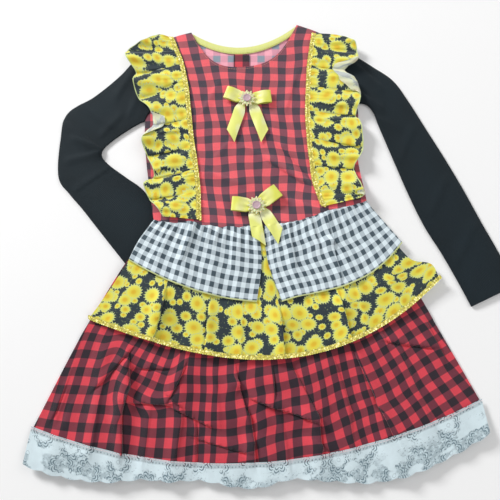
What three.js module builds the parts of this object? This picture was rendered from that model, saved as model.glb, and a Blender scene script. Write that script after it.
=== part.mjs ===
// A child's festa junina dress laid flat on its back: check bodice and skirt, sunflower ruffles and tier,
// gingham peplum, long jersey sleeves, scalloped hem lace and two satin bows.
// Millimetres, +Z up from the surface that it lies on, +X across the dress, +Y from the hem to the neck.
// Places are measured from the centre front at the waist seam, and the whole dress is then moved by MIDDLE.
import * as THREE from "three";

// Driving dimensions
const MIDDLE = { x: -20, y: 4.6 };
const CLOTH = 1;
const LAYER = 1.65;
const SEAM = 0.3;
const LAP = 0.85;
const SLEEVE_HEIGHT = 4.2;

// Neck: its middle, half width, and how far the front and the back are cut down below the shoulder line.
// The front's curve is squarer in the middle than at its corners, and the back's is a plain scoop.
const NECK = { x: -23, halfWidth: 72, leftY: 278, rightY: 290 };
const FRONT_NECK = { drop: 59, corner: 0.95, middle: 0.4 };
const BACK_NECK = { drop: 28, corner: 1, middle: 1 };
const BACK_OPENING = -15;
const BINDING = 9;
const BINDING_END = 1.5;
const PLACKET = { width: 21, length: 112 };

// Bodice: rows from the shoulder to the waist with the sides' places
const BODICE_ROWS = [
  { at: 0, leftX: -138, rightX: 97 },
  { at: 0.24, leftX: -134, rightX: 104 },
  { at: 0.38, leftX: -143, rightX: 119 },
  { at: 0.46, leftX: -152, rightX: 127 },
  { at: 0.7, leftX: -147, rightX: 123 },
  { at: 1, leftX: -133, rightX: 130 },
];
const SHOULDER = { leftY: 266, rightY: 272 };
const BODICE_CREASES = [
  { fromX: 13, fromY: 86, toX: 52, toY: 60, rise: 1.6, width: 9 },
  { fromX: 24, fromY: 108, toX: 58, toY: 70, rise: -1.4, width: 9 },
  { fromX: -66, fromY: 70, toX: -30, toY: 62, rise: 1.4, width: 9 },
  { fromX: -70, fromY: 40, toX: -52, toY: 18, rise: -1.4, width: 9 },
  { fromX: 40, fromY: 200, toX: 20, toY: 150, rise: 1.1, width: 10 },
];

// Skirt, tier and peplum: rows from the waist to the hem, with the dip of the row's middle below its ends
const SKIRT_ROWS = [
  { at: 0, leftX: -133, leftY: 7, rightX: 130, rightY: 33, dip: 20, skew: 0 },
  { at: 0.5, leftX: -206, leftY: -117, rightX: 192, rightY: -92, dip: 34, skew: 0 },
  { at: 1, leftX: -262, leftY: -239, rightX: 250, rightY: -209, dip: 53, skew: 0 },
];
const TIER_ROWS = [
  { at: 0, leftX: -133, leftY: 7, rightX: 130, rightY: 33, dip: 20, skew: 0 },
  { at: 0.55, leftX: -174, leftY: -65, rightX: 177, rightY: -38, dip: 48, skew: 0.2 },
  { at: 0.82, leftX: -193, leftY: -94, rightX: 205, rightY: -47, dip: 65, skew: 0.26 },
  { at: 1, leftX: -206, leftY: -113, rightX: 213, rightY: -65, dip: 71, skew: 0.28 },
];
// How far down the skirt's and the tier's rows of points lie, closest where the hem above them ends
const SKIRT_DOWN = [0, 0.14, 0.26, 0.36, 0.43, 0.49, 0.55, 0.62, 0.71, 0.8, 0.9, 1];
const TIER_DOWN = [0, 0.22, 0.4, 0.49, 0.58, 0.67, 0.77, 0.88, 1];
const PEPLUM_LEFT_ROWS = [
  { at: 0, leftX: -133, leftY: 7, rightX: -4, rightY: -3, dip: 5, skew: 0 },
  { at: 0.5, leftX: -150, leftY: -18, rightX: -1, rightY: -46, dip: 8, skew: 0 },
  { at: 1, leftX: -161, leftY: -43, rightX: -7, rightY: -93, dip: 11, skew: 0 },
];
const PEPLUM_RIGHT_ROWS = [
  { at: 0, leftX: 2, leftY: -2, rightX: 130, rightY: 33, dip: 0, skew: 0 },
  { at: 0.5, leftX: 7, leftY: -46, rightX: 153, rightY: 3, dip: 8, skew: 0.4 },
  { at: 1, leftX: 23, leftY: -93, rightX: 171, rightY: -20, dip: 18, skew: 0.7 },
];
const PEPLUM_BACK_ROWS = [
  { at: 0, leftX: -133, leftY: 7, rightX: 130, rightY: 33, dip: 20, skew: 0 },
  { at: 1, leftX: -165, leftY: -46, rightX: 170, rightY: -24, dip: 58, skew: 0 },
];

// Folds: straight soft ridges, and troughs where the rise is below zero
const SKIRT_FOLDS = [
  { fromX: -34, fromY: -150, toX: -16, toY: -292, rise: -2.6, width: 9 },
  { fromX: -12, fromY: -150, toX: 6, toY: -292, rise: 2.4, width: 12 },
  { fromX: -92, fromY: -140, toX: -103, toY: -292, rise: 2.2, width: 11 },
  { fromX: -70, fromY: -150, toX: -76, toY: -292, rise: -1.8, width: 10 },
  { fromX: -163, fromY: -125, toX: -158, toY: -292, rise: 2.2, width: 11 },
  { fromX: -150, fromY: -140, toX: -200, toY: -205, rise: -1.6, width: 11 },
  { fromX: 100, fromY: -135, toX: 154, toY: -290, rise: 3, width: 10 },
  { fromX: 84, fromY: -150, toX: 128, toY: -290, rise: -2.2, width: 10 },
  { fromX: 54, fromY: -190, toX: 66, toY: -290, rise: 2, width: 11 },
  { fromX: 160, fromY: -110, toX: 200, toY: -250, rise: -1.4, width: 12 },
  { fromX: -212, fromY: -140, toX: -236, toY: -270, rise: 1.6, width: 11 },
  { fromX: -16, fromY: -195, toX: 37, toY: -225, rise: 1.2, width: 9 },
  { fromX: -166, fromY: -206, toX: -108, toY: -208, rise: 1, width: 9 },
];
const TIER_FOLDS = [
  { fromX: -114, fromY: -60, toX: -132, toY: -135, rise: 2.6, width: 10 },
  { fromX: -92, fromY: -75, toX: -100, toY: -150, rise: -1.6, width: 10 },
  { fromX: -60, fromY: -75, toX: -66, toY: -160, rise: 1.8, width: 11 },
  { fromX: 17, fromY: -80, toX: 24, toY: -165, rise: 2.6, width: 9 },
  { fromX: 40, fromY: -80, toX: 50, toY: -160, rise: -1.8, width: 10 },
  { fromX: 88, fromY: -66, toX: 102, toY: -140, rise: 3, width: 9 },
  { fromX: 116, fromY: -60, toX: 136, toY: -125, rise: -1.6, width: 10 },
  { fromX: 148, fromY: -45, toX: 176, toY: -100, rise: 2, width: 10 },
  { fromX: -168, fromY: -60, toX: -186, toY: -115, rise: 1.6, width: 10 },
];
const PEPLUM_FOLDS = [
  { fromX: -88, fromY: 0, toX: -100, toY: -80, rise: 2.6, width: 10 },
  { fromX: -118, fromY: 0, toX: -134, toY: -58, rise: 1.8, width: 9 },
  { fromX: -58, fromY: -8, toX: -62, toY: -88, rise: 1.8, width: 10 },
  { fromX: -28, fromY: -8, toX: -28, toY: -92, rise: 1.6, width: 9 },
  { fromX: 31, fromY: -4, toX: 42, toY: -92, rise: 2.4, width: 10 },
  { fromX: 56, fromY: 8, toX: 74, toY: -84, rise: 1.8, width: 9 },
  { fromX: 82, fromY: 14, toX: 112, toY: -70, rise: 2.8, width: 10 },
  { fromX: 110, fromY: 22, toX: 148, toY: -46, rise: 2, width: 9 },
];
const LOFT = { bodice: 3, skirt: 2.8, tier: 1.8 };
const WAIST_RUN = 60;
const FOLD_END = 16;
const GATHERS = { count: 22, height: 0.7, length: 34 };

// Where the hem of an upper tier lies, as a circle, so that the tier below can step down past it
const PEPLUM_REACH = { x: -6, y: 152, radius: 258 };
const TIER_REACH = { x: -28, y: 178, radius: 352 };
const STEP_RUN = 30;

// Sleeves: sections from the armhole to the cuff, each from its outer edge to its inner edge
const SLEEVE_LEFT = [
  { outerX: -139, outerY: 264, innerX: -153.5, innerY: 147, bow: 0 },
  { outerX: -165, outerY: 244, innerX: -161, innerY: 142, bow: 9 },
  { outerX: -189, outerY: 213, innerX: -173, innerY: 134, bow: 4 },
  { outerX: -221, outerY: 182, innerX: -190, innerY: 121, bow: 0 },
  { outerX: -255, outerY: 157, innerX: -203, innerY: 108, bow: 0 },
  { outerX: -261, outerY: 118, innerX: -206, innerY: 99, bow: 0 },
  { outerX: -259, outerY: 68, innerX: -202, innerY: 91, bow: 0 },
  { outerX: -243, outerY: 45, innerX: -191, innerY: 81, bow: 0 },
  { outerX: -226, outerY: 26, innerX: -172, innerY: 67, bow: 0 },
  { outerX: -208, outerY: 4, innerX: -148, innerY: 48, bow: 0 },
  { outerX: -180, outerY: -30, innerX: -124, innerY: 9, bow: 0 },
  { outerX: -150, outerY: -66, innerX: -98, innerY: -30, bow: 0 },
];
const SLEEVE_RIGHT = [
  { outerX: 98.5, outerY: 270, innerX: 128.5, innerY: 173, bow: 0 },
  { outerX: 125, outerY: 246, innerX: 139, innerY: 170, bow: 6 },
  { outerX: 150, outerY: 227, innerX: 147, innerY: 160, bow: 2 },
  { outerX: 176, outerY: 206, innerX: 153, innerY: 140, bow: 0 },
  { outerX: 194, outerY: 176, innerX: 161, innerY: 116, bow: 0 },
  { outerX: 214, outerY: 136, innerX: 172, innerY: 83, bow: 0 },
  { outerX: 235, outerY: 94, innerX: 186, innerY: 42, bow: 0 },
  { outerX: 254, outerY: 53, innerX: 202, innerY: 2, bow: 0 },
  { outerX: 273, outerY: 8, innerX: 220, innerY: -32, bow: 0 },
  { outerX: 291, outerY: -33, innerX: 237, innerY: -68, bow: 0 },
  { outerX: 306, outerY: -72, innerX: 250, innerY: -98, bow: 0 },
];
const SLEEVE_SIDES = 14;

// The left forearm lies under the dress, which is lifted over it
const FOREARM = { fromX: -217, fromY: 63, toX: -124, toY: -48, halfWidth: 44, run: 60, lift: 4.6 };

// Ruffles: rows from the shoulder to the waist, a row for each wave, with the rise of the free edge
const RUFFLE_LEFT = [
  { seamX: -123, seamY: 271, edgeX: -139, edgeY: 274, rise: 1 },
  { seamX: -119, seamY: 262, edgeX: -160, edgeY: 261, rise: 6 },
  { seamX: -115, seamY: 251, edgeX: -180, edgeY: 247, rise: 2.5 },
  { seamX: -110, seamY: 239, edgeX: -180, edgeY: 235, rise: 8 },
  { seamX: -106, seamY: 226, edgeX: -167, edgeY: 215, rise: 2 },
  { seamX: -102, seamY: 207, edgeX: -169, edgeY: 200, rise: 8.5 },
  { seamX: -99, seamY: 192, edgeX: -162, edgeY: 177, rise: 2.5 },
  { seamX: -97, seamY: 175, edgeX: -146, edgeY: 160, rise: 7 },
  { seamX: -94, seamY: 150, edgeX: -141, edgeY: 139, rise: 1.5 },
  { seamX: -92, seamY: 132, edgeX: -153, edgeY: 117, rise: 8.5 },
  { seamX: -89, seamY: 110, edgeX: -147, edgeY: 96, rise: 2.5 },
  { seamX: -86, seamY: 94, edgeX: -137, edgeY: 75, rise: 6.5 },
  { seamX: -84, seamY: 80, edgeX: -137, edgeY: 64, rise: 2 },
  { seamX: -82, seamY: 66, edgeX: -147, edgeY: 54, rise: 8 },
  { seamX: -80, seamY: 47, edgeX: -140, edgeY: 35, rise: 2.5 },
  { seamX: -79, seamY: 29, edgeX: -129, edgeY: 22, rise: 6 },
  { seamX: -77.5, seamY: 8, edgeX: -121, edgeY: 10, rise: 2 },
];
const RUFFLE_RIGHT = [
  { seamX: 72, seamY: 276, edgeX: 104, edgeY: 273, rise: 1 },
  { seamX: 70, seamY: 265, edgeX: 125, edgeY: 260, rise: 7 },
  { seamX: 68, seamY: 254, edgeX: 129, edgeY: 246, rise: 2.5 },
  { seamX: 66, seamY: 240, edgeX: 128, edgeY: 230, rise: 8 },
  { seamX: 64, seamY: 226, edgeX: 111, edgeY: 219, rise: 1.5 },
  { seamX: 63, seamY: 212, edgeX: 123, edgeY: 203, rise: 7 },
  { seamX: 62, seamY: 197, edgeX: 130, edgeY: 186, rise: 3 },
  { seamX: 61, seamY: 180, edgeX: 128, edgeY: 170, rise: 8 },
  { seamX: 60, seamY: 161, edgeX: 123, edgeY: 153, rise: 2 },
  { seamX: 60, seamY: 145, edgeX: 128, edgeY: 137, rise: 8 },
  { seamX: 61, seamY: 122, edgeX: 130, edgeY: 107, rise: 3 },
  { seamX: 62, seamY: 104, edgeX: 124, edgeY: 92, rise: 7.5 },
  { seamX: 64, seamY: 84, edgeX: 117, edgeY: 78, rise: 2 },
  { seamX: 66, seamY: 62, edgeX: 123, edgeY: 54, rise: 7.5 },
  { seamX: 71, seamY: 42, edgeX: 128, edgeY: 42, rise: 3 },
  { seamX: 76, seamY: 26, edgeX: 122, edgeY: 36, rise: 2 },
];
const RUFFLE_BASE = 5.6;
const TRIM_WIDTH = 5.5;
const TIER_TRIM_WIDTH = 4;

// Hem lace: how far it reaches past the skirt, from left to right, and its small scallops
const LACE_DEPTHS = [
  { at: 0, depth: 34 },
  { at: 0.08, depth: 33 },
  { at: 0.17, depth: 27 },
  { at: 0.25, depth: 17 },
  { at: 0.31, depth: 15 },
  { at: 0.38, depth: 12 },
  { at: 0.49, depth: 20 },
  { at: 0.57, depth: 14 },
  { at: 0.65, depth: 22 },
  { at: 0.74, depth: 34 },
  { at: 0.82, depth: 38 },
  { at: 0.91, depth: 36 },
  { at: 1, depth: 31 },
];
const LACE_LAP = 5;
const SCALLOPS = { count: 24, height: 2 };

// Bows: centre, the two loops' directions in degrees and half lengths, and the tails' ends
const BOWS = {
  upper: {
    x: -19, y: 175, width: 20,
    left: { turn: 166, half: 31 },
    right: { turn: 5, half: 34 },
    tails: { leftX: -40, leftY: 123, rightX: 4, rightY: 123 },
  },
  lower: {
    x: -7, y: 26, width: 21,
    left: { turn: 174, half: 30 },
    right: { turn: 32, half: 36 },
    tails: { leftX: -4, leftY: -19, rightX: 22, rightY: -13 },
  },
};
const RIBBON = {
  wall: 0.8, knotHeight: 2.6, loopHeight: 5.6, knotWidth: 9,
  tailStart: 4.6, tailWidth: 16, tailCut: 14, curl: 1,
};
const DAISY = { radius: 12, petals: 10, thickness: 1 };
const BUTTON = { radius: 5.2, thickness: 1.8, rim: 1.1 };

// Looks of the cloths and trims
const LOOKS = {
  check: { color: 0xc8303c, roughness: 0.85, metalness: 0 },
  sunflower: { color: 0xd8b82c, roughness: 0.85, metalness: 0 },
  gingham: { color: 0x9aa6aa, roughness: 0.85, metalness: 0 },
  jersey: { color: 0x1c2629, roughness: 0.9, metalness: 0 },
  lace: { color: 0xc9dde2, roughness: 0.8, metalness: 0 },
  binding: { color: 0xe1e882, roughness: 0.6, metalness: 0 },
  sequin: { color: 0xe8d332, roughness: 0.3, metalness: 0.2 },
  satin: { color: 0xeae85a, roughness: 0.35, metalness: 0 },
  daisy: { color: 0xdde2b4, roughness: 0.5, metalness: 0 },
  button: { color: 0xc8afb4, roughness: 0.4, metalness: 0 },
};

const dress = new THREE.Group();
dress.position.set(MIDDLE.x, MIDDLE.y, 0);

// Small sums used all through
const mix = (a, b, share) => a + (b - a) * share;
const clamp = (value) => Math.min(Math.max(value, 0), 1);
function smooth(value) {
  const v = clamp(value);
  return v * v * (3 - 2 * v);
}
const steps = (count) => Array.from({ length: count }, (_, k) => k / (count - 1));

// The named columns of a table between its rows, on smooth curves through them.
function tableAt(rows, at) {
  let k = 0;
  while (k < rows.length - 2 && at > rows[k + 1].at) k += 1;
  const [a, b] = [rows[k], rows[k + 1]];
  const before = rows[Math.max(k - 1, 0)];
  const after = rows[Math.min(k + 2, rows.length - 1)];
  const span = b.at - a.at;
  const p = clamp((at - a.at) / span);
  const found = {};
  for (const name of Object.keys(a)) {
    const slopeA = ((b[name] - before[name]) / (b.at - before.at)) * span;
    const slopeB = ((after[name] - a[name]) / (after.at - a.at)) * span;
    const bend = p * (1 - p) * ((1 - p) * slopeA - p * slopeB);
    found[name] = mix(a[name], b[name], smooth(p)) + bend;
  }
  return found;
}
const evenRows = (rows) => rows.map((row, k) => ({ at: k / (rows.length - 1), ...row }));

// The place on a panel whose rows run from side to side: across from 0 to 1, down from 0 to 1.
function placeOn(rows, across, down) {
  const row = tableAt(rows, down);
  const sag = 4 * across * (1 - across) * row.dip * (1 + row.skew * (2 * across - 1));
  return [mix(row.leftX, row.rightX, across), mix(row.leftY, row.rightY, across) - sag];
}

// The sum of the folds' heights at a place.
function foldsAt(folds, x, y) {
  let sum = 0;
  for (const f of folds) {
    const [dx, dy] = [f.toX - f.fromX, f.toY - f.fromY];
    const length = Math.hypot(dx, dy);
    const along = ((x - f.fromX) * dx + (y - f.fromY) * dy) / length;
    const aside = ((x - f.fromX) * dy - (y - f.fromY) * dx) / length;
    const beyond = Math.max(-along, along - length, 0);
    sum += f.rise * Math.exp(-((aside / f.width) ** 2) - (beyond / FOLD_END) ** 2);
  }
  return sum;
}

// The distance from a place to the line between two others.
function distanceTo(x, y, fromX, fromY, toX, toY) {
  const [dx, dy] = [toX - fromX, toY - fromY];
  const share = clamp(((x - fromX) * dx + (y - fromY) * dy) / (dx * dx + dy * dy));
  return Math.hypot(x - fromX - share * dx, y - fromY - share * dy);
}

// Heights of the lower face of each layer, from the surface up
function forearmLift(x, y) {
  const away = distanceTo(x, y, FOREARM.fromX, FOREARM.fromY, FOREARM.toX, FOREARM.toY);
  return FOREARM.lift * smooth((FOREARM.halfWidth + FOREARM.run - away) / FOREARM.run);
}
const depthInside = (reach, x, y) => reach.radius - Math.hypot(x - reach.x, y - reach.y);
const stepOver = (reach, x, y) => LAYER * smooth(1 + depthInside(reach, x, y) / STEP_RUN);
const pastHem = (reach, x, y) => smooth(0.5 - depthInside(reach, x, y) / STEP_RUN);

function sideFade(x, y) {
  const left = distanceTo(x, y, -133, 7, -262, -239);
  const right = distanceTo(x, y, 130, 33, 250, -209);
  return smooth((Math.min(left, right) - 2) / 34);
}
function gathersAt(x, y) {
  const fromCentre = Math.hypot(x - PEPLUM_REACH.x, y - PEPLUM_REACH.y);
  const turn = Math.atan2(x - PEPLUM_REACH.x, PEPLUM_REACH.y - y);
  const fade = clamp(1 - (fromCentre - 150) / GATHERS.length);
  return GATHERS.height * fade * (1 + Math.sin(turn * GATHERS.count * 3.6));
}
const peplumBackUnder = (x, y) => forearmLift(x, y);
const tierBackUnder = (x, y) => forearmLift(x, y) + stepOver(PEPLUM_REACH, x, y);
const skirtBackUnder = (x, y) => tierBackUnder(x, y) + stepOver(TIER_REACH, x, y);
function skirtFrontUnder(x, y) {
  const open = (LOFT.skirt + foldsAt(SKIRT_FOLDS, x, y)) * pastHem(TIER_REACH, x, y);
  return skirtBackUnder(x, y) + LAYER + open * sideFade(x, y);
}
function tierFrontUnder(x, y) {
  const open = (LOFT.tier + foldsAt(TIER_FOLDS, x, y)) * pastHem(PEPLUM_REACH, x, y);
  return skirtFrontUnder(x, y) + LAYER + open * sideFade(x, y);
}
function peplumFrontUnder(x, y) {
  const folds = foldsAt(PEPLUM_FOLDS, x, y) + gathersAt(x, y);
  return tierFrontUnder(x, y) + LAYER + folds * mix(0.2, 1, sideFade(x, y));
}

// The bodice: its waist edge is the top row of the skirt, its top edge the shoulders and the neck
const waistAt = (across) => placeOn(SKIRT_ROWS, across, 0);
function shoulderLine(x) {
  const [left, right] = [BODICE_ROWS[0].leftX, BODICE_ROWS[0].rightX];
  const [neckLeft, neckRight] = [NECK.x - NECK.halfWidth, NECK.x + NECK.halfWidth];
  if (x < neckLeft) return mix(SHOULDER.leftY, NECK.leftY, (x - left) / (neckLeft - left));
  if (x > neckRight) return mix(NECK.rightY, SHOULDER.rightY, (x - neckRight) / (right - neckRight));
  return mix(NECK.leftY, NECK.rightY, (x - neckLeft) / (neckRight - neckLeft));
}
function neckDrop(x, neck) {
  const reach = clamp(1 - ((x - NECK.x) / NECK.halfWidth) ** 2);
  return neck.drop * reach ** mix(neck.corner, neck.middle, reach);
}
const frontTopEdge = (x) => shoulderLine(x) - neckDrop(x, FRONT_NECK);
const backTopEdge = (x) => shoulderLine(x) - neckDrop(x, BACK_NECK);

function bodicePlace(topEdge, across, down) {
  const row = tableAt(BODICE_ROWS, down);
  const top = topEdge(mix(BODICE_ROWS[0].leftX, BODICE_ROWS[0].rightX, across));
  return [mix(row.leftX, row.rightX, across), mix(top, waistAt(across)[1] + SEAM, down)];
}
function bodiceSides(x, y) {
  const row = tableAt(BODICE_ROWS, clamp((SHOULDER.leftY - y) / SHOULDER.leftY));
  return smooth(Math.min(x - row.leftX, row.rightX - x) / 34);
}
const bodiceBackUnder = (x, y) => forearmLift(x, y);
function bodiceFrontUnder(x, y) {
  const across = clamp((x + 133) / 263);
  const waistY = waistAt(across)[1];
  const toWaist = smooth(1 - (y - waistY) / WAIST_RUN);
  const atWaist = tierFrontUnder(x, waistY) + LAYER + GATHERS.height - forearmLift(x, waistY);
  const loft = (LOFT.bodice + foldsAt(BODICE_CREASES, x, y)) * bodiceSides(x, y);
  return forearmLift(x, y) + mix(LAYER + loft, atWaist, toWaist);
}
function frontTop(x, y) {
  const waistY = waistAt(clamp((x + 133) / 263))[1];
  return (y > waistY ? bodiceFrontUnder(x, y) : peplumFrontUnder(x, y)) + CLOTH;
}

// Adds a named mesh, turned to face outwards.
function add(name, points, triangles, look) {
  const at = (k) => new THREE.Vector3(...points[k]);
  const volume = triangles.reduce((sum, [a, b, c]) => sum + at(a).dot(at(b).cross(at(c))), 0);
  const outwards = volume < 0 ? triangles.map(([a, b, c]) => [a, c, b]) : triangles;
  const geometry = new THREE.BufferGeometry();
  geometry.setAttribute("position", new THREE.Float32BufferAttribute(points.flat(), 3));
  geometry.setIndex(outwards.flat());
  geometry.computeVertexNormals();
  const mesh = new THREE.Mesh(geometry, new THREE.MeshStandardMaterial(LOOKS[look]));
  mesh.name = name;
  dress.add(mesh);
}

// A wall of cloth over a grid: place gives X and Y, under the height of the lower face.
function addWall(name, look, across, down, place, under, thickness = CLOTH) {
  const points = [];
  for (const lift of [thickness, 0]) {
    for (const v of down) {
      for (const u of across) {
        const [x, y] = place(u, v);
        points.push([x, y, under(x, y, u, v) + lift]);
      }
    }
  }
  const [wide, high] = [across.length, down.length];
  const half = wide * high;
  const triangles = [];
  const quad = (a, b, c, d) => triangles.push([a, b, c], [a, c, d]);
  for (let j = 0; j < high - 1; j += 1) {
    for (let i = 0; i < wide - 1; i += 1) {
      const k = j * wide + i;
      quad(k, k + wide, k + wide + 1, k + 1);
      quad(half + k, half + k + 1, half + k + wide + 1, half + k + wide);
    }
    const [left, right] = [j * wide, j * wide + wide - 1];
    quad(left, half + left, half + left + wide, left + wide);
    quad(right, right + wide, half + right + wide, half + right);
  }
  for (let i = 0; i < wide - 1; i += 1) {
    const foot = half - wide + i;
    quad(i, i + 1, half + i + 1, half + i);
    quad(foot, half + foot, half + foot + 1, foot + 1);
  }
  add(name, points, triangles, look);
}

// A hollow tube with open ends: point gives a place on section k at an angle, on the outer or inner skin.
function addTube(name, look, sections, sides, point) {
  const points = [];
  for (const skin of [0, 1]) {
    for (let k = 0; k < sections; k += 1) {
      for (let i = 0; i < sides; i += 1) points.push(point(k, (2 * Math.PI * i) / sides, skin));
    }
  }
  const half = sections * sides;
  const triangles = [];
  const quad = (a, b, c, d) => triangles.push([a, b, c], [a, c, d]);
  for (let i = 0; i < sides; i += 1) {
    const next = (i + 1) % sides;
    for (let k = 0; k < sections - 1; k += 1) {
      const [here, there] = [k * sides, (k + 1) * sides];
      quad(here + i, here + next, there + next, there + i);
      quad(half + here + i, half + there + i, half + there + next, half + here + next);
    }
    const end = (sections - 1) * sides;
    quad(i, half + i, half + next, next);
    quad(end + i, end + next, half + end + next, half + end + i);
  }
  add(name, points, triangles, look);
}

// Bodice front, the two backs with the opening between them, and the placket behind it
function neckColumns(shoulders, neck) {
  const [left, right] = [BODICE_ROWS[0].leftX, BODICE_ROWS[0].rightX];
  const toShare = (x) => (x - left) / (right - left);
  const neckLeft = NECK.x - NECK.halfWidth;
  const neckRight = NECK.x + NECK.halfWidth;
  const leftSide = steps(shoulders).map((s) => toShare(mix(left, neckLeft, s)));
  const curve = steps(neck).map((s) => toShare(NECK.x - NECK.halfWidth * Math.cos(Math.PI * s)));
  const rightSide = steps(shoulders).map((s) => toShare(mix(neckRight, right, s)));
  return [...leftSide, ...curve.slice(1, -1), ...rightSide];
}
const bodiceFront = (u, v) => bodicePlace(frontTopEdge, u, v);
addWall("bodice_front", "check", neckColumns(4, 15), steps(20), bodiceFront, bodiceFrontUnder);

function backPlace(side) {
  return (u, v) => {
    const row = tableAt(BODICE_ROWS, v);
    const edge = side < 0 ? row.leftX : row.rightX;
    const middle = BACK_OPENING + (side * SEAM) / 2;
    const x = mix(edge, middle, u);
    const across = (x - row.leftX) / (row.rightX - row.leftX);
    return [x, bodicePlace(backTopEdge, across, v)[1]];
  };
}
for (const [name, side] of [["bodice_back_left", -1], ["bodice_back_right", 1]]) {
  addWall(name, "check", steps(10), steps(12), backPlace(side), bodiceBackUnder);
}
const placketTop = backTopEdge(BACK_OPENING) - BINDING - 2;
const onBack = (x, y) => bodiceBackUnder(x, y) + CLOTH + SEAM;
const placketPlace = (u, v) => [BACK_OPENING - 1 - PLACKET.width * (1 - u), placketTop - PLACKET.length * v];
addWall("back_placket", "check", steps(2), steps(5), placketPlace, onBack);

// Binding on the inner face of the back neck, a little past its edge
const bindingPlace = (u, v) => {
  const x = NECK.x + (NECK.halfWidth - BINDING_END) * (2 * u - 1);
  return [x, backTopEdge(x) + 1 - (BINDING + 1) * v];
};
addWall("neck_binding", "binding", steps(21), steps(3), bindingPlace, onBack);

// Sleeves: flattened tubes, from the armhole to the cuff, whose first section follows the bodice's side
function armholeX(y, side) {
  const top = side < 0 ? SHOULDER.leftY : SHOULDER.rightY;
  const foot = waistAt(side < 0 ? 0 : 1)[1] + SEAM;
  const row = tableAt(BODICE_ROWS, clamp((top - y) / (top - foot)));
  return (side < 0 ? row.leftX : row.rightX) + side * 2 * SEAM;
}
function addSleeve(name, rows, side) {
  addTube(name, "jersey", rows.length, SLEEVE_SIDES, (k, angle, skin) => {
    const row = rows[k];
    const [dx, dy] = [row.innerX - row.outerX, row.innerY - row.outerY];
    const width = Math.hypot(dx, dy);
    const reach = 0.5 - (skin * CLOTH) / width;
    const across = Math.sign(Math.cos(angle)) * Math.abs(Math.cos(angle)) ** 0.8;
    const share = 0.5 + reach * across;
    const bow = row.bow * (1 - across * across) * side;
    const high = Math.sign(Math.sin(angle)) * Math.abs(Math.sin(angle)) ** 0.5;
    const z = SLEEVE_HEIGHT / 2 + (SLEEVE_HEIGHT / 2 - skin * CLOTH) * high;
    const y = row.outerY + share * dy;
    return [k ? row.outerX + share * dx - bow : armholeX(y, side), y, z];
  });
}
addSleeve("sleeve_left", SLEEVE_LEFT, -1);
addSleeve("sleeve_right", SLEEVE_RIGHT, 1);

// Skirt, tier and peplum, back and front
const panel = (rows) => (u, v) => placeOn(rows, u, v);
const waistY = (x) => waistAt(clamp((x + 133) / 263))[1];
function peplumPanel(rows) {
  return (u, v) => {
    const [x, y] = placeOn(rows, u, v);
    return [x, v === 0 ? waistY(x) : Math.min(y, waistY(x) - 2)];
  };
}
addWall("skirt_back", "check", steps(24), SKIRT_DOWN, panel(SKIRT_ROWS), skirtBackUnder);
addWall("tier_back", "sunflower", steps(24), steps(7), panel(TIER_ROWS), tierBackUnder);
addWall("peplum_back", "gingham", steps(22), steps(4), panel(PEPLUM_BACK_ROWS), peplumBackUnder);
addWall("skirt_front", "check", steps(47), SKIRT_DOWN, panel(SKIRT_ROWS), skirtFrontUnder);
addWall("tier_front", "sunflower", steps(44), TIER_DOWN, panel(TIER_ROWS), tierFrontUnder);
for (const [name, rows] of [["peplum_front_left", PEPLUM_LEFT_ROWS], ["peplum_front_right", PEPLUM_RIGHT_ROWS]]) {
  addWall(name, "gingham", steps(30), steps(7), peplumPanel(rows), peplumFrontUnder);
}

// Ruffles from the shoulder to the waist, gathered into the seam and waving at the free edge
function ruffleUnder(rows, x, y, u, v) {
  const row = tableAt(rows, u);
  const seam = frontTop(row.seamX, row.seamY) + LAP;
  const outer = Math.max(RUFFLE_BASE, frontTop(x, y) + LAP);
  return mix(seam, outer, smooth(v * 2)) + row.rise * v ** 1.2;
}
function addRuffle(name, table) {
  const rows = evenRows(table);
  const place = (u, v) => {
    const row = tableAt(rows, u);
    const width = Math.hypot(row.edgeX - row.seamX, row.edgeY - row.seamY);
    const share = mix((TRIM_WIDTH / 2 + SEAM) / width, 1, v);
    return [mix(row.seamX, row.edgeX, share), mix(row.seamY, row.edgeY, share)];
  };
  const under = (x, y, u, v) => ruffleUnder(rows, x, y, u, v);
  addWall(name, "sunflower", steps(3 * rows.length - 2), steps(5), place, under);
}
addRuffle("ruffle_left", RUFFLE_LEFT);
addRuffle("ruffle_right", RUFFLE_RIGHT);

// Sequin trims: along the two ruffle seams and along the tier's hem
function addSeamTrim(name, table) {
  const rows = evenRows(table);
  const place = (u, v) => {
    const row = tableAt(rows, u);
    return [row.seamX + TRIM_WIDTH * (v - 0.5), row.seamY];
  };
  addWall(name, "sequin", steps(28), steps(2), place, (x, y) => frontTop(x, y) + LAP);
}
addSeamTrim("trim_left", RUFFLE_LEFT);
addSeamTrim("trim_right", RUFFLE_RIGHT);
const tierTrimPlace = (u, v) => {
  const [x, y] = placeOn(TIER_ROWS, u, 1);
  return [x, y + TIER_TRIM_WIDTH * (1 - v)];
};
const onTier = (x, y) => tierFrontUnder(x, y) + CLOTH + LAP;
addWall("trim_tier", "sequin", steps(44), steps(2), tierTrimPlace, onTier);

// Hem lace: the front one laps over the skirt's hem, the back one meets it
function lacePlace(lap) {
  return (u, v) => {
    const [x, y] = placeOn(SKIRT_ROWS, u, 1);
    const scallop = SCALLOPS.height * Math.abs(Math.sin(Math.PI * SCALLOPS.count * u));
    const depth = tableAt(LACE_DEPTHS, u).depth + scallop;
    return [x + 0.12 * (2 * u - 1) * depth * v, mix(y + lap, y - depth, v)];
  };
}
const onSkirt = (x, y) => skirtFrontUnder(x, y) + CLOTH + LAP;
addWall("lace_front", "lace", steps(4 * SCALLOPS.count + 1), steps(2), lacePlace(LACE_LAP), onSkirt);
addWall("lace_back", "lace", steps(2 * SCALLOPS.count + 1), steps(2), lacePlace(-SEAM), skirtBackUnder);

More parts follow.
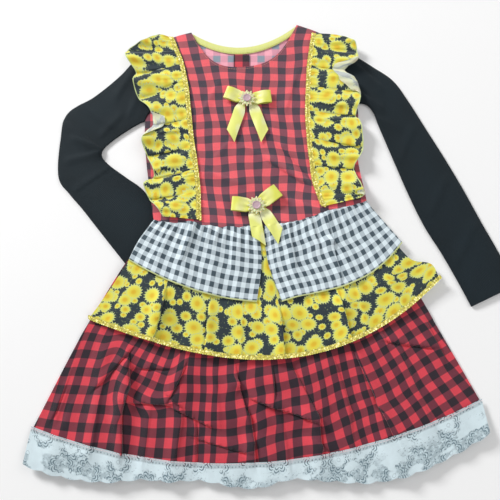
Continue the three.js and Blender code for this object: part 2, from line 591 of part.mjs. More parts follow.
// Satin bows: two tails, a band of two loops pinched at the knot, a daisy and a flat button
function bowPlace(bow, along, aside) {
  const loop = along < 0 ? bow.left : bow.right;
  const turn = THREE.MathUtils.degToRad(loop.turn);
  const reach = Math.abs(along);
  const acrossTurn = mix(bow.left.turn - 90, bow.right.turn + 90, smooth(0.5 + along / 28));
  const across = THREE.MathUtils.degToRad(acrossTurn);
  const x = bow.x + reach * Math.cos(turn) + aside * Math.cos(across);
  return [x, bow.y + reach * Math.sin(turn) + aside * Math.sin(across)];
}
function addLoops(name, bow, z) {
  addTube(name, "satin", 3, 20, (k, angle, skin) => {
    const half = angle > Math.PI / 2 && angle < 1.5 * Math.PI ? bow.left.half : bow.right.half;
    const along = (half - skin * RIBBON.wall) * Math.cos(angle);
    const open = smooth((Math.abs(along) - DAISY.radius) / 12);
    const height = mix(RIBBON.knotHeight, RIBBON.loopHeight, open);
    const width = mix(RIBBON.knotWidth, bow.width, smooth(Math.abs(along) / 24));
    const high = Math.sign(Math.sin(angle)) * Math.abs(Math.sin(angle)) ** 0.6;
    const [x, y] = bowPlace(bow, along, (k - 1) * (width / 2));
    return [x, y, z + height / 2 + (height / 2 - skin * RIBBON.wall) * high];
  });
}
function addTail(name, bow, side, z) {
  const endX = side < 0 ? bow.tails.leftX : bow.tails.rightX;
  const endY = side < 0 ? bow.tails.leftY : bow.tails.rightY;
  const startX = bow.x + side * RIBBON.tailStart;
  const [dx, dy] = [endX - startX, endY - bow.y];
  const length = Math.hypot(dx, dy);
  const place = (u, v) => {
    const aside = (u - 0.5) * mix(RIBBON.knotWidth - 2, RIBBON.tailWidth, smooth(v * 1.4));
    const cut = (side * (0.5 - u) * RIBBON.tailCut * v) / length;
    const along = v + cut;
    return [startX + along * dx - (aside * dy) / length, bow.y + along * dy + (aside * dx) / length];
  };
  const under = (x, y, u, v) => {
    const lying = frontTop(x, y) + LAP + RIBBON.curl * Math.sin(Math.PI * u);
    return mix(z, lying, smooth(v * 3));
  };
  addWall(name, "satin", steps(4), steps(7), place, under, RIBBON.wall);
}
function addDaisy(name, bow, z) {
  const shape = new THREE.Shape();
  const count = DAISY.petals * 6;
  for (let k = 0; k < count; k += 1) {
    const angle = (2 * Math.PI * k) / count;
    const radius = DAISY.radius * (0.74 + 0.26 * Math.abs(Math.cos((DAISY.petals * angle) / 2)) ** 0.6);
    shape[k ? "lineTo" : "moveTo"](radius * Math.cos(angle), radius * Math.sin(angle));
  }
  const geometry = new THREE.ExtrudeGeometry(shape, { depth: DAISY.thickness, bevelEnabled: false });
  addPlaced(name, "daisy", geometry, bow, z);
}
function addButton(name, bow, z) {
  const { radius, thickness, rim } = BUTTON;
  const dish = thickness - 0.5;
  const bottom = [[0, 0], [radius, 0], [radius, thickness]];
  const top = [[radius - rim, thickness], [radius - rim - 0.5, dish], [0, dish]];
  const profile = [...bottom, ...top].map(([r, h]) => new THREE.Vector2(r, h));
  const geometry = new THREE.LatheGeometry(profile, 20);
  geometry.rotateX(Math.PI / 2);
  addPlaced(name, "button", geometry, bow, z);
}
function addPlaced(name, look, geometry, bow, z) {
  const mesh = new THREE.Mesh(geometry, new THREE.MeshStandardMaterial(LOOKS[look]));
  mesh.name = name;
  mesh.position.set(bow.x, bow.y, z);
  dress.add(mesh);
}
for (const [which, bow] of Object.entries(BOWS)) {
  const spots = [-1, 0, 1].flatMap((a) => [-1, 0, 1].map((b) => [bow.x + 24 * a, bow.y + 10 * b]));
  const tailZ = Math.max(...spots.map(([x, y]) => frontTop(x, y))) + SEAM;
  const loopZ = tailZ + CLOTH + 2 * SEAM;
  const daisyZ = loopZ + RIBBON.knotHeight + SEAM;
  addTail(`bow_${which}_tail_left`, bow, -1, tailZ);
  addTail(`bow_${which}_tail_right`, bow, 1, tailZ);
  addLoops(`bow_${which}_loops`, bow, loopZ);
  addDaisy(`bow_${which}_daisy`, bow, daisyZ);
  addButton(`bow_${which}_button`, bow, daisyZ + DAISY.thickness + SEAM);
}

export default dress;
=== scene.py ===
import math

import bpy
import numpy as np
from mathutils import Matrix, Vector


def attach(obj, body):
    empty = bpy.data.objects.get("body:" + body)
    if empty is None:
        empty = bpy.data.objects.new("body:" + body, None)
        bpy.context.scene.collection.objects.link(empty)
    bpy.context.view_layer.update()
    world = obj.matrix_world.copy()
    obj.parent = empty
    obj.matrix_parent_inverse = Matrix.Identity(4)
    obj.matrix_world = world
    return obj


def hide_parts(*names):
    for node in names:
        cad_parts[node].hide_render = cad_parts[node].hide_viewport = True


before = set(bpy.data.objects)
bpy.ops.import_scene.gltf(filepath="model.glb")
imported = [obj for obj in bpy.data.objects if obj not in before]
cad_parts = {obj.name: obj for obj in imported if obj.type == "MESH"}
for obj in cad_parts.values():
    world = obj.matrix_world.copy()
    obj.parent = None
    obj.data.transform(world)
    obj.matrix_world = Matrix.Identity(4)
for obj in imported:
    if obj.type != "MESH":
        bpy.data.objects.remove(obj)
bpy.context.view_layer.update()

# Camera, floor and light
# The dress lies on its back on a pale floor, seen from over its hem with the eye 645 mm up.
# The main soft light stands at the upper left, and weak ones at the right and the hem open the folds.
EYE = (-0.035, -0.1894, 0.645)
TILT = 14.5
LENS = 38.88
bpy.ops.object.select_all(action="DESELECT")
bpy.ops.object.camera_add(location=EYE, rotation=(math.radians(TILT), 0, 0))
camera = bpy.context.object
camera.name = "camera"
camera.data.lens = LENS
scene = bpy.context.scene
scene.camera = camera
scene.view_settings.view_transform = "Standard"


def bare_look(name, roughness):
    """A new material and its shader."""
    look = bpy.data.materials.new(name)
    look.use_nodes = True
    shader = look.node_tree.nodes["Principled BSDF"]
    shader.inputs["Roughness"].default_value = roughness
    return look, shader


bpy.ops.mesh.primitive_plane_add(size=8)
floor = bpy.context.object
floor.name = "floor"
floor_look, floor_shader = bare_look("pale_floor", 0.9)
floor_shader.inputs["Base Color"].default_value = (0.93, 0.93, 0.93, 1)
floor.data.materials.append(floor_look)

LAMPS = {
    "lamp_neck": dict(place=(-1.9, 1.7, 1.25), aim=(0, 0, 0), size=0.7, power=80),
    "lamp_right": dict(place=(1.2, 0.6, 1.2), aim=(0.1, 0, 0), size=1.0, power=5),
    "lamp_hem": dict(place=(0.8, -1.1, 1.4), aim=(0.1, -0.1, 0), size=1.2, power=6),
}
for name, lamp in LAMPS.items():
    towards = Vector(lamp["aim"]) - Vector(lamp["place"])
    turn = towards.to_track_quat("-Z", "Y").to_euler()
    bpy.ops.object.light_add(type="AREA", location=lamp["place"], rotation=turn)
    light = bpy.context.object
    light.name = name
    light.data.size = lamp["size"]
    light.data.energy = lamp["power"]
scene.world = bpy.data.worlds.new("room")
scene.world.use_nodes = True
scene.world.node_tree.nodes["Background"].inputs["Color"].default_value = (1, 1, 1, 1)
scene.world.node_tree.nodes["Background"].inputs["Strength"].default_value = 0.38

# Skirt
# Two panels of woven check cotton, gathered into the waist seam and flaring to the hem.
# The back lies on the floor with its paler reverse up, and the front lies on it in soft uneven folds.
MM = 0.001
MIDDLE = (-20, 4.6)
CLOTH = 1
LAYER = 1.65
WALL = 0.65


def rows_of(names, *rows):
    """A table's rows, with the names of its columns on its first line."""
    return [dict(zip(names.split(), row)) for row in rows]


SKIRT_ROWS = rows_of(
    "at left_x left_y right_x right_y dip skew",
    (0, -133, 7, 130, 33, 20, 0),
    (0.5, -206, -117, 192, -92, 34, 0),
    (1, -262, -239, 250, -209, 53, 0),
)
SKIRT_CUT = (540, 278)
SKIRT_TURN = dict(x=-50, straight=45, slope=0.16)
HEM_TURN = dict(left=-50, right=105, fade=45, share=1.3, start=0.72)
ASKEW = dict(x=-140, y=-166, wide=52, high=62, turn=0.36)
CROWDED = dict(top_x=103, top_y=-140, foot_x=146, foot_y=-240, reach=85, extra=30)
FOREARM = dict(from_x=-217, from_y=63, to_x=-124, to_y=-48, half_width=44, run=60, lift=4.6)
PEPLUM_REACH = dict(x=-6, y=152, radius=258)
TIER_REACH = dict(x=-28, y=178, radius=352)
STEP_RUN = 30
SKIRT_LOFT = 2.8
SKIRT_FOLDS = rows_of(
    "from_x from_y to_x to_y rise left right",
    (-34, -150, -16, -292, -2.6, 9, 9),
    (-12, -150, 6, -292, 2.4, 12, 12),
    (-92, -140, -103, -292, 2.2, 11, 11),
    (-70, -150, -76, -292, -1.8, 10, 10),
    (-163, -125, -158, -292, 2.2, 11, 11),
    (-150, -140, -200, -205, -1.6, 11, 11),
    (100, -135, 154, -290, 3, 10, 10),
    (84, -150, 128, -290, -2.2, 10, 10),
    (54, -190, 66, -290, 2, 11, 11),
    (160, -110, 200, -250, -1.4, 12, 12),
    (-212, -140, -236, -270, 1.6, 11, 11),
    (-16, -195, 37, -225, 1.2, 9, 9),
    (-166, -206, -108, -208, 1, 9, 9),
    (-144, -180, -142, -270, -2.4, 12, 8),
    (-204, -150, -222, -240, -2.2, 14, 10),
    (-184, -150, -196, -262, 2.4, 10, 10),
    (6, -216, 40, -236, -1.8, 8, 10),
    (84, -140, 128, -240, -1.8, 8, 14),
)
SKIRT_CREASES = rows_of(
    "from_x from_y to_x to_y rise left right take",
    (-209, -131, -238, -216, 2.6, 1.6, 6, 3),
    (-203, -138, -229, -223, -2.6, 6, 4, 0),
    (-140, -131, -189, -186, 2.2, 1.4, 5, 2),
    (-158, -160, -156, -187, 3, 1.4, 8, 5),
    (-158, -198, -163, -219, 3.2, 1.4, 8, 5),
    (-163, -227, -160, -260, 3.2, 1.5, 8, 5),
    (-150, -166, -152, -262, -1.8, 8, 4, 0),
    (-153, -168, -107, -169, 1.8, 6, 1.4, 2),
    (-151, -206, -108, -208, 2.8, 8, 1.4, 3),
    (-84, -150, -106, -197, 3, 1.5, 8, 5),
    (-105, -201, -93, -210, 2, 6, 1.4, 2),
    (-96, -215, -64, -230, 2.6, 7, 1.4, 3),
    (-94, -227, -99, -262, 1.8, 1.8, 6, 3),
    (-73, -246, -22, -260, 1.8, 6, 1.5, 2),
    (-78, -238, -77, -268, 1.8, 1.6, 5, 2),
    (-33, -155, -32, -186, 3.4, 1.4, 9, 5),
    (-31, -190, -21, -221, 3.8, 1.4, 9, 5),
    (-17, -227, -13, -250, 3.2, 1.5, 8, 5),
    (-14, -255, -12, -267, 3, 1.6, 8, 4),
    (-22, -172, -6, -274, -2.2, 9, 5, 0),
    (-8, -204, 10, -210, 2.4, 7, 1.5, 3),
    (12, -211, 44, -221, 2.6, 7, 1.5, 3),
    (46, -221, 61, -229, 2, 6, 1.6, 2),
    (9, -158, 11, -197, 1.8, 1.5, 6, 2),
    (29, -163, 60, -223, 1.8, 1.5, 6, 2),
    (61, -229, 63, -256, 2.6, 1.5, 7, 3),
    (63, -256, 74, -266, 1.8, 1.6, 6, 2),
    (99, -133, 132, -208, -3.4, 1.3, 11, 6),
    (133, -212, 148, -246, -3, 1.4, 10, 5),
    (133, -117, 141, -135, 1.8, 1.5, 5, 2),
    (148, -138, 193, -144, 2.2, 6, 1.4, 2),
    (194, -120, 209, -155, 2, 1.6, 6, 3),
    (-58, -240, 70, -243, -1.4, 9, 9, 2),
    (-120, -144, -131, -165, 1.4, 2, 5, 1.5),
    (78, -149, 94, -200, 1.6, 2, 7, 3),
    (97, -216, 99, -256, 1.4, 2, 6, 2),
    (-54, -190, -50, -226, 1.2, 2.5, 6, 1.5),
    (-130, -226, -134, -268, 1.3, 2.2, 5, 2),
    (162, -156, 190, -230, 1.8, 2.4, 8, 3),
    (20, -228, 28, -274, 1.4, 2.2, 6, 2),
    (-186, -196, -192, -256, 1.4, 2.2, 6, 2),
    (64, -160, 74, -214, 1.1, 2, 6, 1.5),
)
FOLD_END = 16
LEAN = 0.85
DITCH = dict(depth=1.9, aside=2.6, width=1.5)


def mix(low, high, share):
    return low + (high - low) * share


def smooth(value):
    held = np.clip(value, 0, 1)
    return held * held * (3 - 2 * held)


def table_at(rows, at):
    """The named columns of a table between its rows, on smooth curves through them."""
    stops = np.array([row["at"] for row in rows], float)
    last = len(rows) - 1
    k = np.clip(np.searchsorted(stops, at) - 1, 0, last - 1)
    before, after = np.maximum(k - 1, 0), np.minimum(k + 2, last)
    span = stops[k + 1] - stops[k]
    p = np.clip((at - stops[k]) / span, 0, 1)
    found = {}
    for name in rows[0]:
        column = np.array([row[name] for row in rows], float)
        slope_low = (column[k + 1] - column[before]) / (stops[k + 1] - stops[before]) * span
        slope_high = (column[after] - column[k]) / (stops[after] - stops[k]) * span
        bend = p * (1 - p) * ((1 - p) * slope_low - p * slope_high)
        found[name] = mix(column[k], column[k + 1], smooth(p)) + bend
    return found


def place_on(rows, across, down):
    """The place on a panel whose rows run from side to side."""
    row = table_at(rows, down)
    sag = 4 * across * (1 - across) * row["dip"] * (1 + row["skew"] * (2 * across - 1))
    x = mix(row["left_x"], row["right_x"], across)
    return x, mix(row["left_y"], row["right_y"], across) - sag


def by_fold(fold, x, y):
    """A fold's direction, how far points lie to its right, and how far beyond its ends."""
    run_x, run_y = fold["to_x"] - fold["from_x"], fold["to_y"] - fold["from_y"]
    length = math.hypot(run_x, run_y)
    off_x, off_y = x - fold["from_x"], y - fold["from_y"]
    along = (off_x * run_x + off_y * run_y) / length
    aside = (off_x * run_y - off_y * run_x) / length
    return run_x / length, run_y / length, aside, np.maximum(np.maximum(-along, along - length), 0)


def folds_at(folds, x, y, end=FOLD_END):
    """The sum of the folds' heights. Left and right are a fold's widths, looking along it."""
    height = 0
    for fold in folds:
        _, _, aside, beyond = by_fold(fold, x, y)
        width = np.where(aside > 0, fold["right"], fold["left"])
        height = height + fold["rise"] * np.exp(-((aside / width) ** 2) - (beyond / end) ** 2)
    return height


def taken_up(folds, x, y, end):
    """How far the cloth's own pattern is shifted where a fold hides some of it."""
    shift_x, shift_y = 0, 0
    for fold in folds:
        way_x, way_y, aside, beyond = by_fold(fold, x, y)
        near = np.exp(-((beyond / end) ** 2) - (aside / 60) ** 2)
        width = np.where(aside > 0, fold["right"], fold["left"]) / 2.5
        hidden = fold["take"] / 2 * np.tanh(aside / width) * near
        shift_x = shift_x + hidden * way_y
        shift_y = shift_y - hidden * way_x
    return shift_x, shift_y


def lean_over(folds, x, y, share, end=8):
    """Points near a crest, moved towards its steep side so that the cloth laps over itself."""
    move_x, move_y = 0, 0
    for fold in folds:
        way_x, way_y, aside, beyond = by_fold(fold, x, y)
        steep = min(fold["left"], fold["right"])
        side = 1 if fold["right"] < fold["left"] else -1
        crest = 0 if fold["rise"] > 0 else side * 1.6 * steep
        reach = side * fold["rise"] * LEAN * float(smooth(2.6 - steep))
        near = reach * np.exp(-(((aside - crest) / 2.2) ** 2) - (beyond / end) ** 2)
        move_x = move_x + near * way_y
        move_y = move_y - near * way_x
    return x + move_x * share, y + move_y * share


def distance_to(x, y, from_x, from_y, to_x, to_y):
    run_x, run_y = to_x - from_x, to_y - from_y
    share = ((x - from_x) * run_x + (y - from_y) * run_y) / (run_x**2 + run_y**2)
    share = np.clip(share, 0, 1)
    return np.hypot(x - from_x - share * run_x, y - from_y - share * run_y)


def forearm_lift(x, y):
    arm = FOREARM
    away = distance_to(x, y, arm["from_x"], arm["from_y"], arm["to_x"], arm["to_y"])
    return arm["lift"] * smooth((arm["half_width"] + arm["run"] - away) / arm["run"])


def depth_inside(reach, x, y):
    return reach["radius"] - np.hypot(x - reach["x"], y - reach["y"])


def step_over(reach, x, y):
    return LAYER * smooth(1 + depth_inside(reach, x, y) / STEP_RUN)


def past_hem(reach, x, y):
    return smooth(0.5 - depth_inside(reach, x, y) / STEP_RUN)


def to_side(x, y):
    """The distance to the skirt's nearer side seam."""
    ends = [(side + "_x", side + "_y") for side in ("left", "right")]
    seams = [[SKIRT_ROWS[k][name] for k in (0, -1) for name in names] for names in ends]
    return np.minimum(*[distance_to(x, y, *seam) for seam in seams])


def side_fade(x, y):
    return smooth((to_side(x, y) - 2) / 34)


def tier_back_under(x, y):
    return forearm_lift(x, y) + step_over(PEPLUM_REACH, x, y)


def skirt_back_under(x, y):
    return tier_back_under(x, y) + step_over(TIER_REACH, x, y)


def skirt_front_under(x, y):
    open_height = (SKIRT_LOFT + folds_at(SKIRT_FOLDS, x, y)) * past_hem(TIER_REACH, x, y)
    return skirt_back_under(x, y) + LAYER + open_height * side_fade(x, y)


def ditches(folds):
    """A narrow hollow at the foot of each ridge that is steep on one side."""
    found = []
    for fold in folds:
        if fold["rise"] < 1.7 or min(fold["left"], fold["right"]) > 1.6:
            continue
        run_x, run_y = fold["to_x"] - fold["from_x"], fold["to_y"] - fold["from_y"]
        side = (1 if fold["right"] < fold["left"] else -1) * DITCH["aside"] / math.hypot(run_x, run_y)
        moved = dict(fold, rise=-DITCH["depth"], left=DITCH["width"], right=DITCH["width"])
        for end in ("from", "to"):
            moved[end + "_x"] += side * run_y
            moved[end + "_y"] -= side * run_x
        found.append(moved)
    return found


SKIRT_DITCHES = ditches(SKIRT_CREASES)


def crease_fade(x, y):
    """Sharp creases run nearly to the side edges, where the layers lie flat on each other."""
    return smooth((to_side(x, y) - 1) / 14)


def skirt_open(x, y):
    """Where the skirt has its creases: below the tier's hem and away from the side seams."""
    return past_hem(TIER_REACH, x, y) * crease_fade(x, y)


def skirt_sharp(x, y):
    ripple = 0.3 * np.sin(x * 0.16 + 2 * np.sin(y * 0.03)) + 0.2 * np.sin(y * 0.13 + x * 0.04)
    height = folds_at(SKIRT_CREASES, x, y, 12) + folds_at(SKIRT_DITCHES, x, y, 6) + ripple
    return np.maximum(height, -5) * skirt_open(x, y)


def skirt_leaning(x, y, u, v):
    return lean_over(SKIRT_CREASES, x, y, skirt_open(x, y))


def skirt_creased(x, y, u, v):
    return np.maximum(skirt_front_under(x, y) + skirt_sharp(x, y), skirt_back_under(x, y) + LAYER)


def points_of(mesh):
    points = np.empty(3 * len(mesh.vertices))
    mesh.vertices.foreach_get("co", points)
    return points.reshape(-1, 3)


def spread(name, grid):
    """A flat grid to shape, with the shares across and down of each point."""
    bpy.ops.object.select_all(action="DESELECT")
    bpy.ops.mesh.primitive_grid_add(x_subdivisions=grid[0], y_subdivisions=grid[1], size=1)
    panel = bpy.context.object
    panel.name = name + "_cloth"
    points = points_of(panel.data)
    return panel, points[:, 0] + 0.5, 0.5 - points[:, 1]


def put(mesh, x, y, z):
    laid = np.column_stack([x + MIDDLE[0], y + MIDDLE[1], z]) * MM
    mesh.vertices.foreach_set("co", laid.ravel())


def map_flat(mesh, layer, across, down):
    """Writes each point's place in the flat cloth."""
    corners = np.empty(len(mesh.loops), dtype=int)
    mesh.loops.foreach_get("vertex_index", corners)
    flat = np.column_stack([across, down])[corners] * MM
    layer.data.foreach_set("uv", flat.ravel())


def thicken(panel, thick, inner=0, rim=0):
    """Gives the panel its wall. Inner and rim are the places of their looks after the outer one."""
    wall = panel.modifiers.new("wall", "SOLIDIFY")
    wall.thickness = thick * MM
    wall.offset = -1
    wall.material_offset = inner
    wall.material_offset_rim = rim
    bpy.ops.object.modifier_apply(modifier="wall")
    bpy.ops.object.shade_smooth_by_angle(angle=math.radians(60))


def lay_cloth(name, grid, place, under, cut, looks, thick=WALL, rim=0, leaning=None, to_edge=None):
    """A thin panel over a grid: place gives X and Y in millimetres, under the height of its lower face,
    and cut the place in the flat cloth, all from the shares across and down. Leaning moves the crests,
    and to_edge writes the distance to a hem in a second map."""
    panel, u, v = spread(name, grid)
    mesh = panel.data
    x, y = place(u, v)
    height = under(x, y, u, v) + CLOTH
    if leaning:
        x, y = leaning(x, y, u, v)
    put(mesh, x, y, height)
    map_flat(mesh, mesh.uv_layers.active, *cut(u, v))
    if to_edge:
        map_flat(mesh, mesh.uv_layers.new(name="hem"), u, to_edge(u, v))
    for look in looks:
        mesh.materials.append(look)
    mesh.update()
    if sum(face.normal.z for face in mesh.polygons) < -0.5 * len(mesh.polygons):
        mesh.flip_normals()
    thicken(panel, thick, len(looks) - 1, rim)
    return panel


def sew(piece, slot, *nodes):
    """The piece stands for these solids and rides with the dress."""
    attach(piece, "root")
    if nodes:
        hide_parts(*nodes)
    return piece


def paint(red, green, blue):
    """A screen colour as the shader's light values."""
    values = [value / 255 for value in (red, green, blue)]
    return (*[c / 12.92 if c < 0.04 else ((c + 0.055) / 1.055) ** 2.4 for c in values], 1)


class Dye:
    """A value or colour in a material. Sums of dyes add the nodes that work them out."""

    def __init__(self, socket):
        self.socket = socket

    def node(self, kind, settings=None, values=None, out=0):
        tree = self.socket.id_data
        made = tree.nodes.new(kind)
        for name, value in (settings or {}).items():
            setattr(made, name, value)
        for name, value in (values or {}).items():
            if isinstance(value, Dye):
                tree.links.new(value.socket, made.inputs[name])
            else:
                made.inputs[name].default_value = value
        return Dye(made.outputs[out])

    def beside(self, out):
        """Another output of the same node."""
        return Dye(self.socket.node.outputs[out])

    def sum(self, operation, *others, clamp=False):
        settings = {"operation": operation, "use_clamp": clamp}
        return self.node("ShaderNodeMath", settings, dict(enumerate((self, *others))))

    def __add__(self, other):
        return self.sum("ADD", other)

    def __sub__(self, other):
        return self.sum("SUBTRACT", other)

    def __rsub__(self, other):
        return self.node("ShaderNodeMath", {"operation": "SUBTRACT"}, {0: other, 1: self})

    def __mul__(self, other):
        return self.sum("MULTIPLY", other)

    def __truediv__(self, other):
        return self.sum("DIVIDE", other)

    __radd__ = __add__
    __rmul__ = __mul__

    def held(self):
        return self.sum("ADD", 0, clamp=True)

    def between(self, low, high):
        """The colour low where this is 0, and high where it is 1."""
        return self.node("ShaderNodeMix", {"data_type": "RGBA"}, {0: self, 6: low, 7: high}, 2)

    def shaded(self, amount):
        """This colour made lighter or darker by a number that varies."""
        return self.node("ShaderNodeVectorMath", {"operation": "SCALE"}, {0: self, 3: amount})

    def tints(self, colour):
        """A fixed colour made lighter or darker by this number."""
        return self.node("ShaderNodeVectorMath", {"operation": "SCALE"}, {0: colour[:3], 3: self})

    def feeds(self, shader, socket):
        self.socket.id_data.links.new(self.socket, shader.inputs[socket])


def new_look(name, roughness, sheen=0.0):
    """A material with its shader, and the place on the flat cloth in millimetres."""
    look, shader = bare_look(name, roughness)
    shader.inputs["Sheen Weight"].default_value = sheen
    shader.inputs["Sheen Roughness"].default_value = 0.5
    shader.inputs["Specular IOR Level"].default_value = 0.3
    flat = Dye(look.node_tree.nodes.new("ShaderNodeTexCoord").outputs["UV"])
    across = flat.node("ShaderNodeSeparateXYZ", {}, {0: flat})
    return look, shader, across * 1000, across.beside(1) * 1000


def stripes(place, width, soft):
    """Even stripes: 0 on one and 1 on the next, with soft edges."""
    share = (place / (2 * width)).sum("FRACT")
    return ((share - 0.5).sum("ABSOLUTE") * (2 * width / soft) + (0.5 - width / (2 * soft))).held()


def fleck(across, down, size_across, size_down, detail=2):
    """Soft random spots between 0 and 1, longer one way to look like uneven yarn."""
    place = across.node("ShaderNodeCombineXYZ", {}, {0: across / size_across, 1: down / size_down})
    settings = {"noise_dimensions": "2D"}
    return across.node("ShaderNodeTexNoise", settings, {"Vector": place, "Scale": 1, "Detail": detail})


def waves(place, length):
    return (place * (2 * math.pi / length)).sum("SINE")


def weave(across, down, pitch):
    """Threads that cross over and under, between -1 and 1."""
    return waves(across, pitch) * waves(down, pitch)


def raise_bump(shader, height, depth, strength=1.0):
    values = {"Strength": strength, "Distance": depth * MM, "Height": height}
    height.node("ShaderNodeBump", {}, values).feeds(shader, "Normal")


CHECK_WIDTH = 10
CHECK_RED = paint(218, 66, 80)
CHECK_ROW = paint(127, 50, 63)
CHECK_COLUMN = paint(111, 46, 61)
CHECK_BLACK = paint(42, 30, 40)
THREAD = 0.55


def check_look(name, red, mixed_row, mixed_column, black, soft=0.5):
    """Warp and weft striped alike: a red, a black and two half-way squares in each repeat.
    The warp shows a little more, so that the half-way squares of the black columns are the darker ones."""
    look, shader, across, down = new_look(name, 0.82, 0.25)
    warp = stripes(across + 0.12 * fleck(across, down, 0.8, 30), CHECK_WIDTH, soft)
    weft = stripes(down + 0.12 * fleck(across, down, 30, 0.8), CHECK_WIDTH, soft)
    colour = warp.between(weft.between(red, mixed_row), weft.between(mixed_column, black))
    threads = weave(across, down, THREAD)
    yarn = fleck(across, down, 0.7, 9) * 0.16 + fleck(across, down, 9, 0.7) * 0.16
    slub = threads * 0.05 + yarn + fleck(across, down, 60, 60) * 0.1 + 0.8
    colour.shaded(slub).feeds(shader, "Base Color")
    raise_bump(shader, threads + yarn, 0.12, 0.5)
    return look


check = check_look("check_cotton", CHECK_RED, CHECK_ROW, CHECK_COLUMN, CHECK_BLACK)
check_reverse = check_look(
    "check_cotton_reverse", paint(250, 176, 192), paint(228, 160, 177), paint(222, 155, 174),
    paint(142, 156, 170), 1.5,
)


def skirt_place(u, v):
    return place_on(SKIRT_ROWS, u, v)


def skirt_cut(u, v):
    """The check fans out from a straight column, drops straight to the hem in the middle, lies askew in one
    place at the left, and is crowded towards a crease at the right, which takes up the rest."""
    x, y = skirt_place(u, v)
    inside = np.minimum(x - HEM_TURN["left"], HEM_TURN["right"] - x)
    straight = HEM_TURN["share"] * smooth(inside / HEM_TURN["fade"]) * np.maximum(0, v - HEM_TURN["start"])
    shift_x, shift_y = taken_up(SKIRT_CREASES, x, y, 14)
    off = x - SKIRT_TURN["x"]
    reach = np.hypot(off, SKIRT_TURN["straight"])
    slope = SKIRT_TURN["slope"] * np.abs(off) / reach
    raised = SKIRT_TURN["slope"] * np.sign(off) * (reach - SKIRT_TURN["straight"])
    fall = CROWDED["top_y"] - CROWDED["foot_y"]
    down = np.clip((CROWDED["top_y"] - y) / fall, 0, 1.4)
    left = mix(CROWDED["top_x"], CROWDED["foot_x"], down) - x
    aside, below = x - ASKEW["x"], ASKEW["y"] - y
    askew = ASKEW["turn"] * smooth(2.2 - 2.2 * np.hypot(aside / ASKEW["wide"], below / ASKEW["high"]))
    crowded = CROWDED["extra"] * down * np.where(left > 0, np.clip(1 - left / CROWDED["reach"], 0, 1), 0)
    leaning = slope * SKIRT_CUT[1] * (v - 0.4 - straight)
    sway_x = crowded + askew * below + 2.2 * np.sin(x / 31 + y / 47) - leaning
    sway_y = 2.4 * np.sin(x / 34 + 1) + 1.2 * np.sin(x / 15 + y / 40) + raised - askew * aside
    return SKIRT_CUT[0] * (u - 0.5) + shift_x + sway_x, SKIRT_CUT[1] * v - shift_y + sway_y


def finer_below(start, placing):
    """The same place or cut, with most rows of points in the part below start, which shows."""
    return lambda u, v: placing(u, np.where(v < 0.15, v / 0.15 * start, mix(start, 1, (v - 0.15) / 0.85)))


def resting(height):
    """The height of a lower face that depends on X and Y alone."""
    return lambda x, y, u, v: height(x, y)


skirt_back = lay_cloth(
    "skirt_back", (110, 50), skirt_place, resting(skirt_back_under), skirt_cut, (check_reverse, check)
)
sew(skirt_back, "check", "skirt_back")
skirt_front = lay_cloth(
    "skirt_front", (520, 90), finer_below(0.4, skirt_place), skirt_creased, finer_below(0.4, skirt_cut),
    (check, check_reverse), leaning=skirt_leaning,
)
sew(skirt_front, "check", "skirt_front")

# Tier
# A shorter gathered tier of sunflower-print cotton over the skirt, front and back.
# Its hem is bound by a narrow sequin braid, and a few pressed pleats fall from the waist.
TIER_ROWS = rows_of(
    "at left_x left_y right_x right_y dip skew",
    (0, -133, 7, 130, 33, 20, 0),
    (0.55, -174, -65, 177, -38, 48, 0.2),
    (0.82, -193, -94, 205, -47, 65, 0.26),
    (1, -206, -113, 213, -65, 71, 0.28),
)
TIER_CUT = (450, 150)
TIER_LOFT = 1.8
TIER_FOLDS = rows_of(
    "from_x from_y to_x to_y rise left right",
    (-114, -60, -132, -135, 2.6, 10, 10),
    (-92, -75, -100, -150, -1.6, 10, 10),
    (-60, -75, -66, -160, 1.8, 11, 11),
    (17, -80, 24, -165, 2.6, 9, 9),
    (40, -80, 50, -160, -1.8, 10, 10),
    (88, -66, 102, -140, 3, 9, 9),
    (116, -60, 136, -125, -1.6, 10, 10),
    (148, -45, 176, -100, 2, 10, 10),
    (-168, -60, -186, -115, 1.6, 10, 10),
)
TIER_CREASES = rows_of(
    "from_x from_y to_x to_y rise left right take",
    (-113, -66, -129, -132, 3.2, 1.4, 8, 9),
    (17, -76, 24, -168, 2.8, 1.4, 9, 9),
    (86, -66, 102, -142, 2.8, 1.4, 8, 9),
    (-62, -98, -66, -158, 1.8, 6, 1.6, 5),
    (112, -70, 120, -106, 1.6, 6, 1.6, 5),
    (146, -52, 168, -98, 1.6, 6, 2, 4),
    (-160, -62, -180, -112, 1.6, 7, 2, 4),
    (-24, -88, -26, -150, 1.2, 2, 6, 4),
)
TIER_DITCHES = ditches(TIER_CREASES)


def tier_open(x, y):
    """Where the tier is free to stand in folds: below the peplum's hem and away from the side seams."""
    return past_hem(PEPLUM_REACH, x, y) * side_fade(x, y)


def tier_front_under(x, y):
    open_height = (TIER_LOFT + folds_at(TIER_FOLDS, x, y)) * tier_open(x, y)
    return skirt_front_under(x, y) + LAYER + open_height


def tier_leaning(x, y, u, v):
    return lean_over(TIER_CREASES, x, y, tier_open(x, y))


def tier_creased(x, y, u, v):
    sharp = folds_at(TIER_CREASES, x, y, 10) + 0.8 * folds_at(TIER_DITCHES, x, y, 8)
    return tier_front_under(x, y) + (sharp + 0.3 * np.sin(u * 83 + 4 * v)) * tier_open(x, y)


BLOOMS = rows_of(
    "pitch radius petals shift kept",
    (14, 4.8, 11, 3, 0.62),
    (20, 8.2, 15, 11, 0.95),
    (26, 11.4, 18, 27, 0.95),
)
PRINT_GROUND = paint(46, 58, 64)
PETAL = paint(232, 226, 88)
PETAL_DEEP = paint(236, 214, 66)
PETAL_RIM = paint(206, 220, 150)
BLOOM_CENTRE = paint(226, 186, 46)
CLOTH_WHITE = paint(226, 232, 228)


